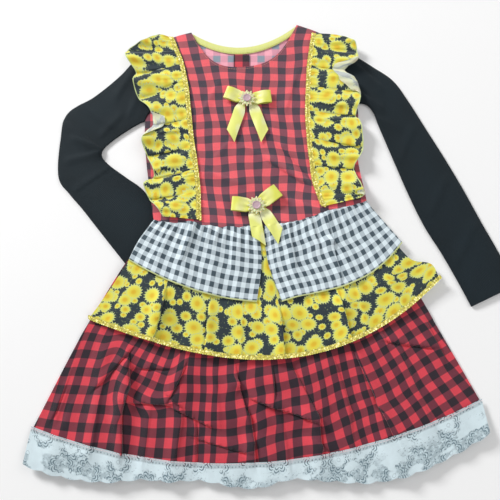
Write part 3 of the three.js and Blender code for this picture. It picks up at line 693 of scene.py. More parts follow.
def scattered(across, down, uneven):
    """Round scattered centres: the distance to the nearest, the angle, and three random numbers of it."""
    place = across.node("ShaderNodeCombineXYZ", {}, {0: across, 1: down})
    cells = {"voronoi_dimensions": "2D", "feature": "F1"}
    away = place.node("ShaderNodeTexVoronoi", cells, {"Vector": place, "Scale": 1, "Randomness": uneven})
    chance = place.node("ShaderNodeSeparateXYZ", {}, {0: away.beside(1)})
    offset = place.node("ShaderNodeVectorMath", {"operation": "SUBTRACT"}, {0: place, 1: away.beside(2)})
    off_x = place.node("ShaderNodeSeparateXYZ", {}, {0: offset})
    return away, off_x.beside(1).sum("ARCTAN2", off_x), chance


def bloom(colour, across, down, kind):
    """One size of sunflower over what is printed so far: a ragged rim, petals and a soft centre."""
    pitch, radius, moved = kind["pitch"], kind["radius"], kind["shift"]
    away, angle, chance = scattered(across / pitch + moved, down / pitch + moved, 0.62)
    petal = 1 - ((angle * (kind["petals"] / 2) + chance * 6.28).sum("SINE")).sum("ABSOLUTE")
    tip = 1 - ((angle * kind["petals"] + chance * 17).sum("SINE")).sum("ABSOLUTE")
    size = chance.beside(1) * 0.24 + 0.84
    edge = (petal * 0.2 + tip * 0.06 + 0.82) * size * radius
    out = away * pitch
    there = (kind["kept"] - chance.beside(2)).sum("GREATER_THAN", 0)
    whole = ((edge - out) / 0.5).held() * there
    inside = ((edge * 0.92 - out) / (radius * 0.16)).held()
    deep = ((edge * 0.7 - out) / (radius * 0.4)).held()
    centre = ((radius * 0.36 - out) / (radius * 0.2)).held()
    streak = 1 - (1 - petal).sum("POWER", 4) * deep * (1 - centre) * 0.16
    flower = inside.between(PETAL_RIM, deep.between(PETAL, PETAL_DEEP))
    return whole.between(colour, centre.between(flower, BLOOM_CENTRE).shaded(streak))


def print_look(name, show=1.0, hem=False):
    """Sunflowers of three sizes on blue-black. On the reverse the print shows through the white cloth,
    and a hem is a narrow pale overlocked edge, placed by the map of distances to it."""
    look, shader, across, down = new_look(name, 0.8, 0.2)
    leaf = fleck(across, down, 3, 3)
    colour = ((leaf - 0.64) * 9).held().between(PRINT_GROUND, paint(120, 136, 96))
    for kind in BLOOMS:
        colour = bloom(colour, across, down, kind)
    if show < 1:
        colour = colour.node("ShaderNodeMix", {"data_type": "RGBA"}, {0: show, 6: CLOTH_WHITE, 7: colour}, 2)
    if hem:
        away = across.node("ShaderNodeUVMap", {"uv_map": "hem"})
        away = away.node("ShaderNodeSeparateXYZ", {}, {0: away}).beside(1) * 1000
        colour = ((1.5 - away) / 0.4).held().between(colour, PETAL_RIM)
    threads = weave(across, down, THREAD)
    shade = threads * 0.03 + fleck(across, down, 50, 50) * 0.12 + 0.92
    colour.shaded(shade).feeds(shader, "Base Color")
    raise_bump(shader, threads, 0.1, 0.4)
    return look


def plain_look(name, colour, roughness=0.8, sheen=0.2, pitch=THREAD, bump=0.4):
    """One colour of woven cloth with uneven yarn."""
    look, shader, across, down = new_look(name, roughness, sheen)
    threads = weave(across, down, pitch)
    shade = threads * 0.04 + fleck(across, down, 1, 12) * 0.1 + fleck(across, down, 40, 40) * 0.1 + 0.9
    shade.tints(colour).feeds(shader, "Base Color")
    raise_bump(shader, threads, 0.1, bump)
    return look


sunflower = print_look("sunflower_cotton")
sunflower_reverse = print_look("sunflower_cotton_reverse", 0.36)


def tier_place(u, v):
    return place_on(TIER_ROWS, u, v)


def tier_cut(u, v):
    x, y = tier_place(u, v)
    shift_x, shift_y = taken_up(TIER_CREASES, x, y, 12)
    return TIER_CUT[0] * (u - 0.5) + shift_x, TIER_CUT[1] * v - shift_y


tier_back = lay_cloth(
    "tier_back", (90, 30), tier_place, resting(tier_back_under), tier_cut, (sunflower_reverse, sunflower)
)
sew(tier_back, "sunflower", "tier_back")
tier_front = lay_cloth(
    "tier_front", (280, 90), finer_below(0.35, tier_place), tier_creased, finer_below(0.35, tier_cut),
    (sunflower, sunflower_reverse), leaning=tier_leaning,
)
sew(tier_front, "sunflower", "tier_front")

# Peplum
# Gingham cotton gathered at the waist and open at the centre front, cut so that its check lies on the
# bias at the sides. The narrow rolled hem is overlocked in pale yellow-green thread.
PEPLUM_LEFT_ROWS = rows_of(
    "at left_x left_y right_x right_y dip skew",
    (0, -133, 7, -4, -3, 5, 0),
    (0.5, -150, -18, -1, -46, 8, 0),
    (1, -161, -43, -7, -93, 11, 0),
)
PEPLUM_RIGHT_ROWS = rows_of(
    "at left_x left_y right_x right_y dip skew",
    (0, 2, -2, 130, 33, 0, 0),
    (0.5, 7, -46, 153, 3, 8, 0.4),
    (1, 23, -93, 171, -20, 18, 0.7),
)
PEPLUM_BACK_ROWS = rows_of(
    "at left_x left_y right_x right_y dip skew",
    (0, -133, 7, 130, 33, 20, 0),
    (1, -165, -46, 170, -24, 58, 0),
)
PEPLUM_FOLDS = rows_of(
    "from_x from_y to_x to_y rise left right",
    (-88, 0, -100, -80, 2.6, 10, 10),
    (-118, 0, -134, -58, 1.8, 9, 9),
    (-58, -8, -62, -88, 1.8, 10, 10),
    (-28, -8, -28, -92, 1.6, 9, 9),
    (31, -4, 42, -92, 2.4, 10, 10),
    (56, 8, 74, -84, 1.8, 9, 9),
    (82, 14, 112, -70, 2.8, 10, 10),
    (110, 22, 148, -46, 2, 9, 9),
)
PEPLUM_CREASES = rows_of(
    "from_x from_y to_x to_y rise left right take",
    (-86, -8, -97, -40, 2, 1.5, 6, 3),
    (-34, -10, -36, -44, 1.4, 5, 1.6, 2),
    (-112, -4, -124, -34, 1.4, 5, 1.8, 2),
    (31, -6, 38, -44, 1.8, 1.5, 6, 3),
    (60, 4, 68, -26, 1.4, 1.8, 5, 2),
    (78, 12, 82, -20, 3, 1.4, 7, 5),
    (82, -20, 92, -62, 2.8, 1.4, 7, 5),
    (16, -12, 18, -50, 1.2, 4, 2, 2),
)
GATHERS = dict(count=22, height=0.7, length=34)
HEADING = dict(from_x=-100, to_x=-6, fade=14, pitch=24, lump=2.4, ripple=0.5)
RUFFLE_ENDS = rows_of("x width rise", (-88, 14, 3.4), (84, 26, 3.6))
GINGHAM_WIDTH = 5.9
HEM_THREAD = paint(206, 214, 150)


def gathers_at(x, y):
    reach_x, reach_y = PEPLUM_REACH["x"], PEPLUM_REACH["y"]
    from_centre = np.hypot(x - reach_x, y - reach_y)
    turn = np.arctan2(x - reach_x, reach_y - y)
    fade = np.clip(1 - (from_centre - 150) / GATHERS["length"], 0, 1)
    return GATHERS["height"] * fade * (1 + np.sin(turn * GATHERS["count"] * 3.6))


def peplum_front_under(x, y):
    folds = folds_at(PEPLUM_FOLDS, x, y) + gathers_at(x, y)
    return tier_front_under(x, y) + LAYER + folds * mix(0.2, 1, side_fade(x, y))


def peplum_creased(x, y, u, v):
    tucks = 0.8 * np.sin(u * 84 + 3 * np.sin(v * 4)) * (1 - smooth(v * 1.8))
    sharp = folds_at(PEPLUM_CREASES, x, y, 8)
    return peplum_front_under(x, y) + tucks + sharp * mix(0.3, 1, side_fade(x, y))


def peplum_leaning(x, y, u, v):
    return lean_over(PEPLUM_CREASES, x, y, smooth(v * 6), 6)


def waist_lumps(x):
    """The gathered heading stands in round lumps left of the middle, and higher at the ruffles' ends."""
    inside, beyond = x - HEADING["from_x"], HEADING["to_x"] - x
    share = smooth(inside / HEADING["fade"]) * smooth(beyond / HEADING["fade"])
    raised = sum(end["rise"] * np.exp(-(((x - end["x"]) / end["width"]) ** 2)) for end in RUFFLE_ENDS)
    lumps = HEADING["lump"] * np.abs(np.sin(math.pi * inside / HEADING["pitch"])) * share
    return raised + lumps + HEADING["ripple"] * np.abs(np.sin(x / 5)) * (1 - share)


def waist_y(x):
    return place_on(SKIRT_ROWS, np.clip((x + 133) / 263, 0, 1), np.zeros_like(x))[1]


def gingham_look(name, white, grey, black, hem):
    """Small even checks, with a pale overlocked line in the last 1.6 mm above the hem."""
    look, shader, across, down = new_look(name, 0.8, 0.2)
    warp = stripes(across, GINGHAM_WIDTH, 0.4)
    weft = stripes(down, GINGHAM_WIDTH, 0.4)
    one = (warp + weft).held()
    colour = (warp * weft).between(one.between(white, grey), black)
    threads = weave(across, down, THREAD)
    shade = threads * 0.04 + fleck(across, down, 40, 40) * 0.1 + fleck(across, down, 0.7, 8) * 0.08 + 0.88
    stitched = ((down + 1.6) / 0.3).held()
    bites = (across * 4.2).sum("SINE") * 0.1 + 0.95
    whole = stitched.between(colour.shaded(shade), hem)
    whole.shaded(stitched * (bites - 1) + 1).feeds(shader, "Base Color")
    raise_bump(shader, threads + stitched * (across * 4.2).sum("SINE"), 0.12, 0.5)
    return look


gingham = gingham_look(
    "gingham_cotton", paint(232, 246, 252), paint(188, 202, 210), paint(72, 88, 98), HEM_THREAD
)
gingham_reverse = gingham_look(
    "gingham_cotton_reverse", paint(228, 236, 238), paint(184, 194, 200), paint(110, 122, 130), HEM_THREAD
)


def peplum_place(rows):
    def place(u, v):
        x, y = place_on(rows, u, v)
        lumps = waist_lumps(x) * (1 - smooth(v * 5))
        return x, np.where(v < 1e-6, waist_y(x), np.minimum(y, waist_y(x) - 2 * smooth(v * 40))) + lumps

    return place


def peplum_cut(rows, width, left_length, right_length):
    """The check lies along the hem, and the shaped waist edge cuts across it."""

    def cut(u, v):
        shift_x, shift_y = taken_up(PEPLUM_CREASES, *place_on(rows, u, v), 9)
        down = -(1 - v) * mix(left_length, right_length, u) - shift_y * smooth(2 - 2 * v)
        return width * (u - 0.5) + shift_x, down

    return cut


PEPLUM_SIDES = {
    "peplum_front_left": dict(rows=PEPLUM_LEFT_ROWS, width=172, left=58, right=92, area=0.0125),
    "peplum_front_right": dict(rows=PEPLUM_RIGHT_ROWS, width=184, left=94, right=70, area=0.0135),
}
peplum_back = lay_cloth(
    "peplum_back", (90, 20), lambda u, v: place_on(PEPLUM_BACK_ROWS, u, v), resting(forearm_lift),
    peplum_cut(PEPLUM_BACK_ROWS, 370, 60, 70), (gingham_reverse, gingham),
)
sew(peplum_back, "gingham", "peplum_back")
peplum = {}
for name, side in PEPLUM_SIDES.items():
    peplum[name] = lay_cloth(
        name, (150, 80), peplum_place(side["rows"]), peplum_creased,
        peplum_cut(side["rows"], side["width"], side["left"], side["right"]), (gingham, gingham_reverse),
        leaning=peplum_leaning,
    )
    sew(peplum[name], "gingham", name)

# Bodice
# A check front with a scooped neck, and two backs that meet at the centre-back opening, where a narrow
# check placket lies behind it. All are seamed at the shoulders, sides and waist.
NECK = dict(x=-23, half_width=72, left_y=278, right_y=290)
FRONT_NECK = dict(drop=59, corner=0.95, middle=0.4)
BACK_NECK = dict(drop=28, corner=1, middle=1)
BACK_OPENING = -15
BINDING = 9
BINDING_END = 1.5
SEAM = 0.3
PLACKET = dict(width=21, length=112)
SHOULDER = dict(left_y=266, right_y=272)
BODICE_ROWS = rows_of(
    "at left_x right_x",
    (0, -138, 97),
    (0.24, -134, 104),
    (0.38, -143, 119),
    (0.46, -152, 127),
    (0.7, -147, 123),
    (1, -133, 130),
)
BODICE_LOFT = 3
FRONT_CHECK = dict(lean=0.08, splay=0.0026, splay_y=190)
WAIST_RUN = 60
BODICE_FOLDS = rows_of(
    "from_x from_y to_x to_y rise left right",
    (13, 86, 52, 60, 1.6, 9, 9),
    (24, 108, 58, 70, -1.4, 9, 9),
    (-66, 70, -30, 62, 1.4, 9, 9),
    (-70, 40, -52, 18, -1.4, 9, 9),
    (40, 200, 20, 150, 1.1, 10, 10),
)
BODICE_CREASES = rows_of(
    "from_x from_y to_x to_y rise left right take",
    (12, 88, 50, 62, 2.2, 6, 1.4, 3),
    (28, 108, 62, 66, 2, 6, 1.4, 3),
    (16, 128, 34, 100, 1, 4, 1.8, 1.5),
    (-64, 72, -34, 60, 0.9, 1.8, 6, 1),
    (-72, 36, -58, 14, 1, 5, 1.8, 1),
    (-40, 118, -58, 96, 0.8, 5, 2, 1),
    (36, 36, 66, 24, 1, 1.8, 5, 1),
    (-60, 196, -76, 160, 0.9, 5, 2.4, 1),
    (46, 210, 34, 168, 0.9, 2.4, 6, 1),
    (-22, 108, 4, 96, 0.8, 1.8, 5, 1),
)


SHOULDERS = (BODICE_ROWS[0]["left_x"], BODICE_ROWS[0]["right_x"])
NECK_ENDS = (NECK["x"] - NECK["half_width"], NECK["x"] + NECK["half_width"])


def shoulder_line(x):
    """The height of the shoulder seams, and of a straight line between the ends of the neck."""
    stops = (SHOULDERS[0], *NECK_ENDS, SHOULDERS[1])
    heights = (SHOULDER["left_y"], NECK["left_y"], NECK["right_y"], SHOULDER["right_y"])
    return np.interp(x, stops, heights)


def neck_drop(x, neck):
    """The front's curve is squarer in the middle than at its corners, and the back's is a plain scoop."""
    reach = np.clip(1 - ((x - NECK["x"]) / NECK["half_width"]) ** 2, 0, 1)
    return neck["drop"] * reach ** mix(neck["corner"], neck["middle"], reach)


def front_top_edge(x):
    return shoulder_line(x) - neck_drop(x, FRONT_NECK)


def back_top_edge(x):
    return shoulder_line(x) - neck_drop(x, BACK_NECK)


def bodice_place(top_edge, across, down):
    row = table_at(BODICE_ROWS, down)
    top = top_edge(mix(*SHOULDERS, across))
    waist = place_on(SKIRT_ROWS, across, np.zeros_like(across))[1] + SEAM
    return mix(row["left_x"], row["right_x"], across), mix(top, waist, down)


def bodice_sides(x, y):
    row = table_at(BODICE_ROWS, np.clip((SHOULDER["left_y"] - y) / SHOULDER["left_y"], 0, 1))
    return smooth(np.minimum(x - row["left_x"], row["right_x"] - x) / 34)


def bodice_front_under(x, y):
    waist = waist_y(x)
    to_waist = smooth(1 - (y - waist) / WAIST_RUN)
    at_waist = tier_front_under(x, waist) + LAYER + GATHERS["height"] - forearm_lift(x, waist)
    loft = (BODICE_LOFT + folds_at(BODICE_FOLDS, x, y)) * bodice_sides(x, y)
    return forearm_lift(x, y) + mix(LAYER + loft, at_waist, to_waist)


def bodice_creased(x, y, u, v):
    sharp = folds_at(BODICE_CREASES, x, y, 8) + 0.2 * np.sin(x * 0.13 + y * 0.05) * np.sin(y * 0.09)
    return bodice_front_under(x, y) + sharp * bodice_sides(x, y)


def bodice_leaning(x, y, u, v):
    return lean_over(BODICE_CREASES, x, y, smooth(v * 6) * smooth((1 - v) * 8), 6)


def neck_share(u):
    """Columns crowd towards the ends of the neck, where its edge is steep."""
    first, last = [(x - SHOULDERS[0]) / (SHOULDERS[1] - SHOULDERS[0]) for x in NECK_ENDS]
    inside = np.clip((u - 0.2) / 0.6, 0, 1)
    curve = mix(first, last, (1 - np.cos(math.pi * inside)) / 2)
    return np.where(u < 0.2, first * u / 0.2, np.where(u > 0.8, mix(last, 1, (u - 0.8) / 0.2), curve))


def front_place(u, v):
    x, y = bodice_place(front_top_edge, neck_share(u), v)
    return x, y + waist_lumps(x) * smooth((v - 0.94) / 0.06)


def by_place(place):
    """Cloth that lies straight: its cut is its place."""

    def cut(u, v):
        x, y = place(u, v)
        return x, -y

    return cut


def front_cut(u, v):
    """The check's columns lean a little, and spread towards the shoulders."""
    x, y = front_place(u, v)
    shift_x, shift_y = taken_up(BODICE_CREASES, x, y, 8)
    splayed = FRONT_CHECK["splay"] * (x - NECK["x"]) * np.maximum(y - FRONT_CHECK["splay_y"], 0)
    sway_x = 1.5 * np.sin(y / 21 + x / 44) + 0.7 * np.sin(y / 9 + x / 13)
    sway_y = 1.6 * np.sin(x / 23 + y / 60) + 0.7 * np.sin(x / 10 + y / 17)
    return x + FRONT_CHECK["lean"] * y - splayed + shift_x + sway_x, -y - shift_y + sway_y


# Painted light: the bodice's copy of the check is paler in every square than the skirt's, for the stronger
# light on the bodice; it is the same cloth.
check_lit_front = check_look(
    "check_cotton_front_painted_light", paint(242, 100, 109), paint(167, 85, 94), paint(135, 75, 89), paint(72, 61, 73)
)
bodice_front = lay_cloth(
    "bodice_front", (190, 130), front_place, bodice_creased, front_cut, (check_lit_front, check_reverse), rim=1,
    leaning=bodice_leaning,
)
sew(bodice_front, "check", "bodice_front")


def back_place(side):
    def place(u, v):
        row = table_at(BODICE_ROWS, v)
        middle = BACK_OPENING + side * SEAM / 2
        x = mix(row["left_x"], middle, u) if side < 0 else mix(middle, row["right_x"], u)
        across = (x - row["left_x"]) / (row["right_x"] - row["left_x"])
        return x, bodice_place(back_top_edge, across, v)[1]

    return place


backs = {}
for name, side, area in (("bodice_back_left", -1, 0.031), ("bodice_back_right", 1, 0.036)):
    place = back_place(side)
    backs[name] = lay_cloth(
        name, (40, 60), place, resting(forearm_lift), by_place(place), (check_reverse, check), rim=1
    )
    sew(backs[name], "check", name)

placket_top = float(back_top_edge(np.array(BACK_OPENING))) - BINDING - 2


def placket_place(u, v):
    return BACK_OPENING - 1 - PLACKET["width"] * (1 - u), placket_top - PLACKET["length"] * v


def on_back(x, y, u, v):
    return forearm_lift(x, y) + CLOTH + SEAM


placket = lay_cloth("back_placket", (14, 40), placket_place, on_back, by_place(placket_place), (check, check))
sew(placket, "check", "back_placket")

# Neck binding
# Bias-cut yellow cotton sateen, folded over the back neck edge and topstitched along its lower side.
binding_look = plain_look("binding_sateen", paint(222, 226, 140), 0.5, 0.1)


def strip_cut(width, length):
    """The flat cut of a straight strip."""
    return lambda u, v: (width * u, length * v)


def binding_place(u, v):
    x = NECK["x"] + (NECK["half_width"] - BINDING_END) * (2 * u - 1)
    return x, back_top_edge(x) + 1 - (BINDING + 1) * v


def binding_under(x, y, u, v):
    return on_back(x, y, u, v) + 0.5 * np.sin(math.pi * v) + 0.12 * np.sin(u * 160) * v


binding = lay_cloth(
    "neck_binding", (160, 10), binding_place, binding_under, strip_cut(150, 10), (binding_look,)
)
sew(binding, "binding", "neck_binding")

# Sleeves
# Long sleeves of black-green cotton jersey, each a flat-lying tube with one seam along its inner edge.
# The left one bends at the elbow, and its forearm passes under the dress.
SLEEVE_HEIGHT = 4.2
SLEEVE_LEFT = rows_of(
    "outer_x outer_y inner_x inner_y bow",
    (-139, 264, -153.5, 147, 0),
    (-165, 244, -161, 142, 9),
    (-189, 213, -173, 134, 4),
    (-221, 182, -190, 121, 0),
    (-255, 157, -203, 108, 0),
    (-261, 118, -206, 99, 0),
    (-259, 68, -202, 91, 0),
    (-243, 45, -191, 81, 0),
    (-226, 26, -172, 67, 0),
    (-208, 4, -148, 48, 0),
    (-180, -30, -124, 9, 0),
    (-150, -66, -98, -30, 0),
)
SLEEVE_RIGHT = rows_of(
    "outer_x outer_y inner_x inner_y bow",
    (98.5, 270, 128.5, 173, 0),
    (125, 246, 139, 170, 6),
    (150, 227, 147, 160, 2),
    (176, 206, 153, 140, 0),
    (194, 176, 161, 116, 0),
    (214, 136, 172, 83, 0),
    (235, 94, 186, 42, 0),
    (254, 53, 202, 2, 0),
    (273, 8, 220, -32, 0),
    (291, -33, 237, -68, 0),
    (306, -72, 250, -98, 0),
)
SLEEVE_LEFT_FOLDS = rows_of(
    "from_x from_y to_x to_y rise left right",
    (-258, 146, -206, 104, 3, 2, 10),
    (-240, 120, -206, 106, 1.8, 2.5, 7),
    (-236, 166, -196, 136, 1.6, 6, 2.5),
    (-246, 92, -212, 100, 1.7, 2.5, 7),
    (-170, 224, -190, 182, 1.5, 3, 8),
    (-186, 150, -204, 128, 1.4, 2.5, 6),
    (-158, 206, -172, 160, 1.4, 6, 3),
    (-232, 52, -196, 80, 1, 6, 3),
)
SLEEVE_RIGHT_FOLDS = rows_of(
    "from_x from_y to_x to_y rise left right",
    (130, 226, 158, 196, 1.8, 3, 7),
    (126, 190, 156, 168, 2, 2.5, 7),
    (152, 150, 176, 138, 1.5, 2.5, 6),
    (196, 132, 178, 92, 1.1, 4, 8),
    (232, 62, 214, 24, 1.1, 5, 7),
    (262, 2, 240, -40, 1.1, 4, 8),
)
ARM_RINGS, ARM_SIDES = 130, 56
ARM_ROUND = 160


def jersey_look():
    """Fine single jersey: lengthwise rows of small stitches, a little nap, and soft sheen."""
    look, shader, across, down = new_look("black_jersey", 0.8, 0.04)
    wale, course = waves(across, 0.9), waves(down, 0.7)
    shade = wale * 0.1 + course * 0.05 + fleck(across, down, 40, 60) * 0.5 + 0.75
    shade.tints(paint(17, 31, 38)).feeds(shader, "Base Color")
    raise_bump(shader, wale + course * 0.5, 0.14, 0.6)
    return look


jersey = jersey_look()


def armhole_x(y, side):
    top = SHOULDER["left_y"] if side < 0 else SHOULDER["right_y"]
    foot = float(waist_y(np.array(-133.0 if side < 0 else 130.0))) + SEAM
    row = table_at(BODICE_ROWS, np.clip((top - y) / (top - foot), 0, 1))
    return (row["left_x"] if side < 0 else row["right_x"]) + side * 2 * SEAM


def even(rows):
    return [dict(at=k / (len(rows) - 1), **row) for k, row in enumerate(rows)]


def sew_sleeve(name, table, side, folds, length):
    """A tube swept along the sleeve, flattened, with its folds on the upper side."""
    sleeve, u, v = spread(name, (ARM_SIDES, ARM_RINGS))
    mesh = sleeve.data
    row = table_at(even(table), v)
    angle = 2 * math.pi * u
    across = np.sign(np.cos(angle)) * np.abs(np.cos(angle)) ** 0.8
    share = 0.5 + 0.5 * across
    y = mix(row["outer_y"], row["inner_y"], share)
    x = mix(row["outer_x"], row["inner_x"], share) - row["bow"] * (1 - across**2) * side
    x = mix(armhole_x(y, side), x, smooth(v * (len(table) - 1) / 0.8))
    high = np.sign(np.sin(angle)) * np.abs(np.sin(angle)) ** 0.5
    lift = folds_at(folds, x, y, 8) * np.clip(high, 0, 1) * smooth(v * 14)
    put(mesh, x, y, SLEEVE_HEIGHT / 2 * (1 + high) + lift)
    map_flat(mesh, mesh.uv_layers.active, u * ARM_ROUND, v * length)
    mesh.materials.append(jersey)
    bpy.ops.object.mode_set(mode="EDIT")
    bpy.ops.mesh.select_all(action="SELECT")
    bpy.ops.mesh.remove_doubles(threshold=0.00001)
    bpy.ops.mesh.normals_make_consistent(inside=False)
    bpy.ops.object.mode_set(mode="OBJECT")
    thicken(sleeve, WALL)
    return sew(sleeve, "jersey", name)


sleeve_left = sew_sleeve("sleeve_left", SLEEVE_LEFT, -1, SLEEVE_LEFT_FOLDS, 400)
sleeve_right = sew_sleeve("sleeve_right", SLEEVE_RIGHT, 1, SLEEVE_RIGHT_FOLDS, 380)

# Ruffles
# Strips of sunflower print gathered into a seam from the waist to the shoulder, with a free wavy edge
# that stands up in turns. The unprinted reverse shows where an edge turns over.
RUFFLE_LEFT = rows_of(
    "seam_x seam_y edge_x edge_y rise",
    (-123, 271, -139, 274, 1),
    (-119, 262, -160, 261, 6),
    (-115, 251, -180, 247, 2.5),
    (-110, 239, -180, 235, 8),
    (-106, 226, -167, 215, 2),
    (-102, 207, -169, 200, 8.5),
    (-99, 192, -162, 177, 2.5),
    (-97, 175, -146, 160, 7),
    (-94, 150, -141, 139, 1.5),
    (-92, 132, -153, 117, 8.5),
    (-89, 110, -147, 96, 2.5),
    (-86, 94, -137, 75, 6.5),
    (-84, 80, -137, 64, 2),
    (-82, 66, -147, 54, 8),
    (-80, 47, -140, 35, 2.5),
    (-79, 29, -129, 22, 6),
    (-77.5, 8, -121, 10, 2),
)
RUFFLE_RIGHT = rows_of(
    "seam_x seam_y edge_x edge_y rise",
    (72, 276, 104, 273, 1),
    (70, 265, 125, 260, 7),
    (68, 254, 129, 246, 2.5),
    (66, 240, 128, 230, 8),
    (64, 226, 111, 219, 1.5),
    (63, 212, 123, 203, 7),
    (62, 197, 130, 186, 3),
    (61, 180, 128, 170, 8),
    (60, 161, 123, 153, 2),
    (60, 145, 128, 137, 8),
    (61, 122, 130, 107, 3),
    (62, 104, 124, 92, 7.5),
    (64, 84, 117, 78, 2),
    (66, 62, 123, 54, 7.5),
    (71, 42, 128, 42, 3),
    (76, 26, 122, 36, 2),
)
LEFT_TUCKS = rows_of(
    "from_x from_y to_x to_y rise left right take",
    (-106, 228, -158, 216, -3.4, 5, 1.6, 6),
    (-100, 204, -132, 190, -1.4, 4, 2, 2),
    (-99, 190, -150, 178, -1.8, 2, 4, 2),
    (-94, 148, -136, 139, -3.6, 5, 1.4, 6),
    (-92, 132, -128, 126, 1.4, 2, 5, 2),
    (-89, 108, -140, 96, -2.8, 5, 1.4, 6),
    (-84, 78, -130, 65, -3.4, 5, 1.4, 6),
    (-80, 46, -134, 36, -3.4, 5, 1.4, 6),
    (-79, 26, -116, 30, -1.6, 2, 4, 2),
    (-114, 250, -146, 248, -1.4, 2, 4, 2),
)
RIGHT_TUCKS = rows_of(
    "from_x from_y to_x to_y rise left right take",
    (68, 254, 108, 247, -1.6, 4, 2, 2),
    (64, 226, 104, 220, -3.2, 1.4, 4, 6),
    (62, 197, 118, 188, -2.8, 1.4, 4, 6),
    (61, 174, 100, 166, 1.2, 4, 2, 2),
    (60, 160, 120, 153, -3.6, 1.4, 5, 6),
    (60, 146, 96, 140, -1.2, 4, 2, 2),
    (61, 121, 120, 109, -3.4, 1.4, 5, 6),
    (64, 84, 112, 78, -3.4, 1.4, 5, 6),
    (71, 44, 120, 42, -1.8, 5, 2, 2),
)
RUFFLE_BASE = 5.6
LAP = 0.85
TURNED_LIFT = 1.6
TRIM_WIDTH = 5.5
RUFFLE_TURNED = {
    "ruffle_left": [dict(at=0.505, reach=0.035, depth=0.26)],
    "ruffle_right": [dict(at=0.3, reach=0.085, depth=0.27), dict(at=0.93, reach=0.02, depth=0.15)],
}


def front_top(x, y):
    above = bodice_front_under(x, y)
    return np.where(y > waist_y(x), above, peplum_front_under(x, y)) + CLOTH


def turned_over(turns, u, v):
    """How far out a point lies where the edge turns over: out to the turn, and back over it."""
    fold = 1 - sum(turn["depth"] * smooth(1.6 - np.abs(u - turn["at"]) / turn["reach"]) for turn in turns)
    return (v - 2 * np.maximum(v - fold, 0)) / fold, np.maximum(v - fold, 0)


def ruffle_width(row):
    return np.hypot(row["edge_x"] - row["seam_x"], row["edge_y"] - row["seam_y"])


def ruffle_place(rows, turns):
    def place(u, v):
        row = table_at(rows, u)
        out = mix((TRIM_WIDTH / 2 + SEAM) / ruffle_width(row), 1, turned_over(turns, u, v)[0])
        return mix(row["seam_x"], row["edge_x"], out), mix(row["seam_y"], row["edge_y"], out)

    return place


def ruffle_under(rows, turns, tucks):
    def under(x, y, u, v):
        row = table_at(rows, u)
        out, past = turned_over(turns, u, v)
        seam = front_top(row["seam_x"], row["seam_y"]) + LAP
        outer = np.maximum(RUFFLE_BASE, front_top(x, y) + LAP)
        body = mix(seam, outer, smooth(out * 2)) + row["rise"] * out**1.2
        gathers = 0.35 * np.sin(u * 230 + 2 * np.sin(u * 40)) * (1 - out) ** 2
        pucker = gathers + 0.5 * np.sin(u * 150 + 4 * out) * smooth(out * 1.5)
        sharp = folds_at(tucks, x, y, 7) * smooth(out * 3)
        lowest = np.maximum(np.minimum(seam, body), front_top(x, y) + 0.7 * smooth(out * 5))
        return np.maximum(body + sharp + pucker + 0.5, lowest) + TURNED_LIFT * smooth(past / 0.05)

    return under


def ruffle_cut(rows, turns, tucks):
    """The print lies as the strip does, with some of it hidden in the tucks."""
    place = ruffle_place(rows, turns)

    def cut(u, v):
        x, y = place(u, v)
        shift_x, shift_y = taken_up(tucks, x, y, 6)
        past = turned_over(turns, u, v)[1] * ruffle_width(table_at(rows, u))
        pulled = 3 * np.sin(y / 19) + 2 * np.sin(x / 9 + y / 26)
        return x + shift_x + pulled + 2 * past, -1.08 * y - shift_y + 2.5 * np.sin(x / 14 + y / 31)

    return cut


def ruffle_leaning(turns, tucks):
    def leaning(x, y, u, v):
        return lean_over(tucks, x, y, smooth(turned_over(turns, u, v)[0] * 3), 5)

    return leaning


ruffles = {}
sunflower_hemmed = print_look("sunflower_cotton_hemmed", 1, True)
for name, table, tucks in (
    ("ruffle_left", RUFFLE_LEFT, LEFT_TUCKS),
    ("ruffle_right", RUFFLE_RIGHT, RIGHT_TUCKS),
):
    rows, turns = even(table), RUFFLE_TURNED[name]
    ruffles[name] = lay_cloth(
        name, (300, 44), ruffle_place(rows, turns), ruffle_under(rows, turns, tucks),
        ruffle_cut(rows, turns, tucks), (sunflower_hemmed, sunflower_reverse),
        leaning=ruffle_leaning(turns, tucks),
        to_edge=lambda u, v, rows=rows: (1 - v) * ruffle_width(table_at(rows, u)),
    )
    sew(ruffles[name], "sunflower", name)

# Sequin trims
# A yellow braid sewn over each ruffle seam and along the tier's hem, with two staggered rows of small
# cupped sequins that lap over each other.
TIER_TRIM_WIDTH = 4
SEQUIN = dict(radius=1.6, pitch=2.6, cup=0.4, film=0.12, lean=20, above=0.75)
# The near-white colour of the sequins' painted glints: a painted highlight.
SEQUIN_PAINTED_GLINT = paint(255, 252, 190)


def speckled_look(name, roughness, scale, detail):
    """A material with its shader, and speckles that are fixed to the object."""
    look, shader = bare_look(name, roughness)
    place = Dye(look.node_tree.nodes.new("ShaderNodeTexCoord").outputs["Object"])
    values = {"Vector": place, "Scale": scale, "Detail": detail}
    return look, shader, place.node("ShaderNodeTexNoise", {}, values)


def sequin_look(name, colour, roughness, coat):
    """Shiny film, with painted highlights in some spots and painted shade in others."""
    look, shader, painted_sparkle = speckled_look(name, roughness, 420, 1)
    # Painted highlight and painted shade: noise paints some sequins near white and scales others darker.
    painted_glint = ((painted_sparkle - 0.58) * 14).held().between(colour, SEQUIN_PAINTED_GLINT)
    painted_glint.shaded(painted_sparkle * 2.2 - 0.1).feeds(shader, "Base Color")
    shader.inputs["Coat Weight"].default_value = coat
    return look


sequin_film = sequin_look("sequin_film", paint(238, 226, 104), 0.2, 0.6)
braid = plain_look("sequin_braid", paint(206, 190, 60), 0.7, 0.2, 0.9, 0.8)


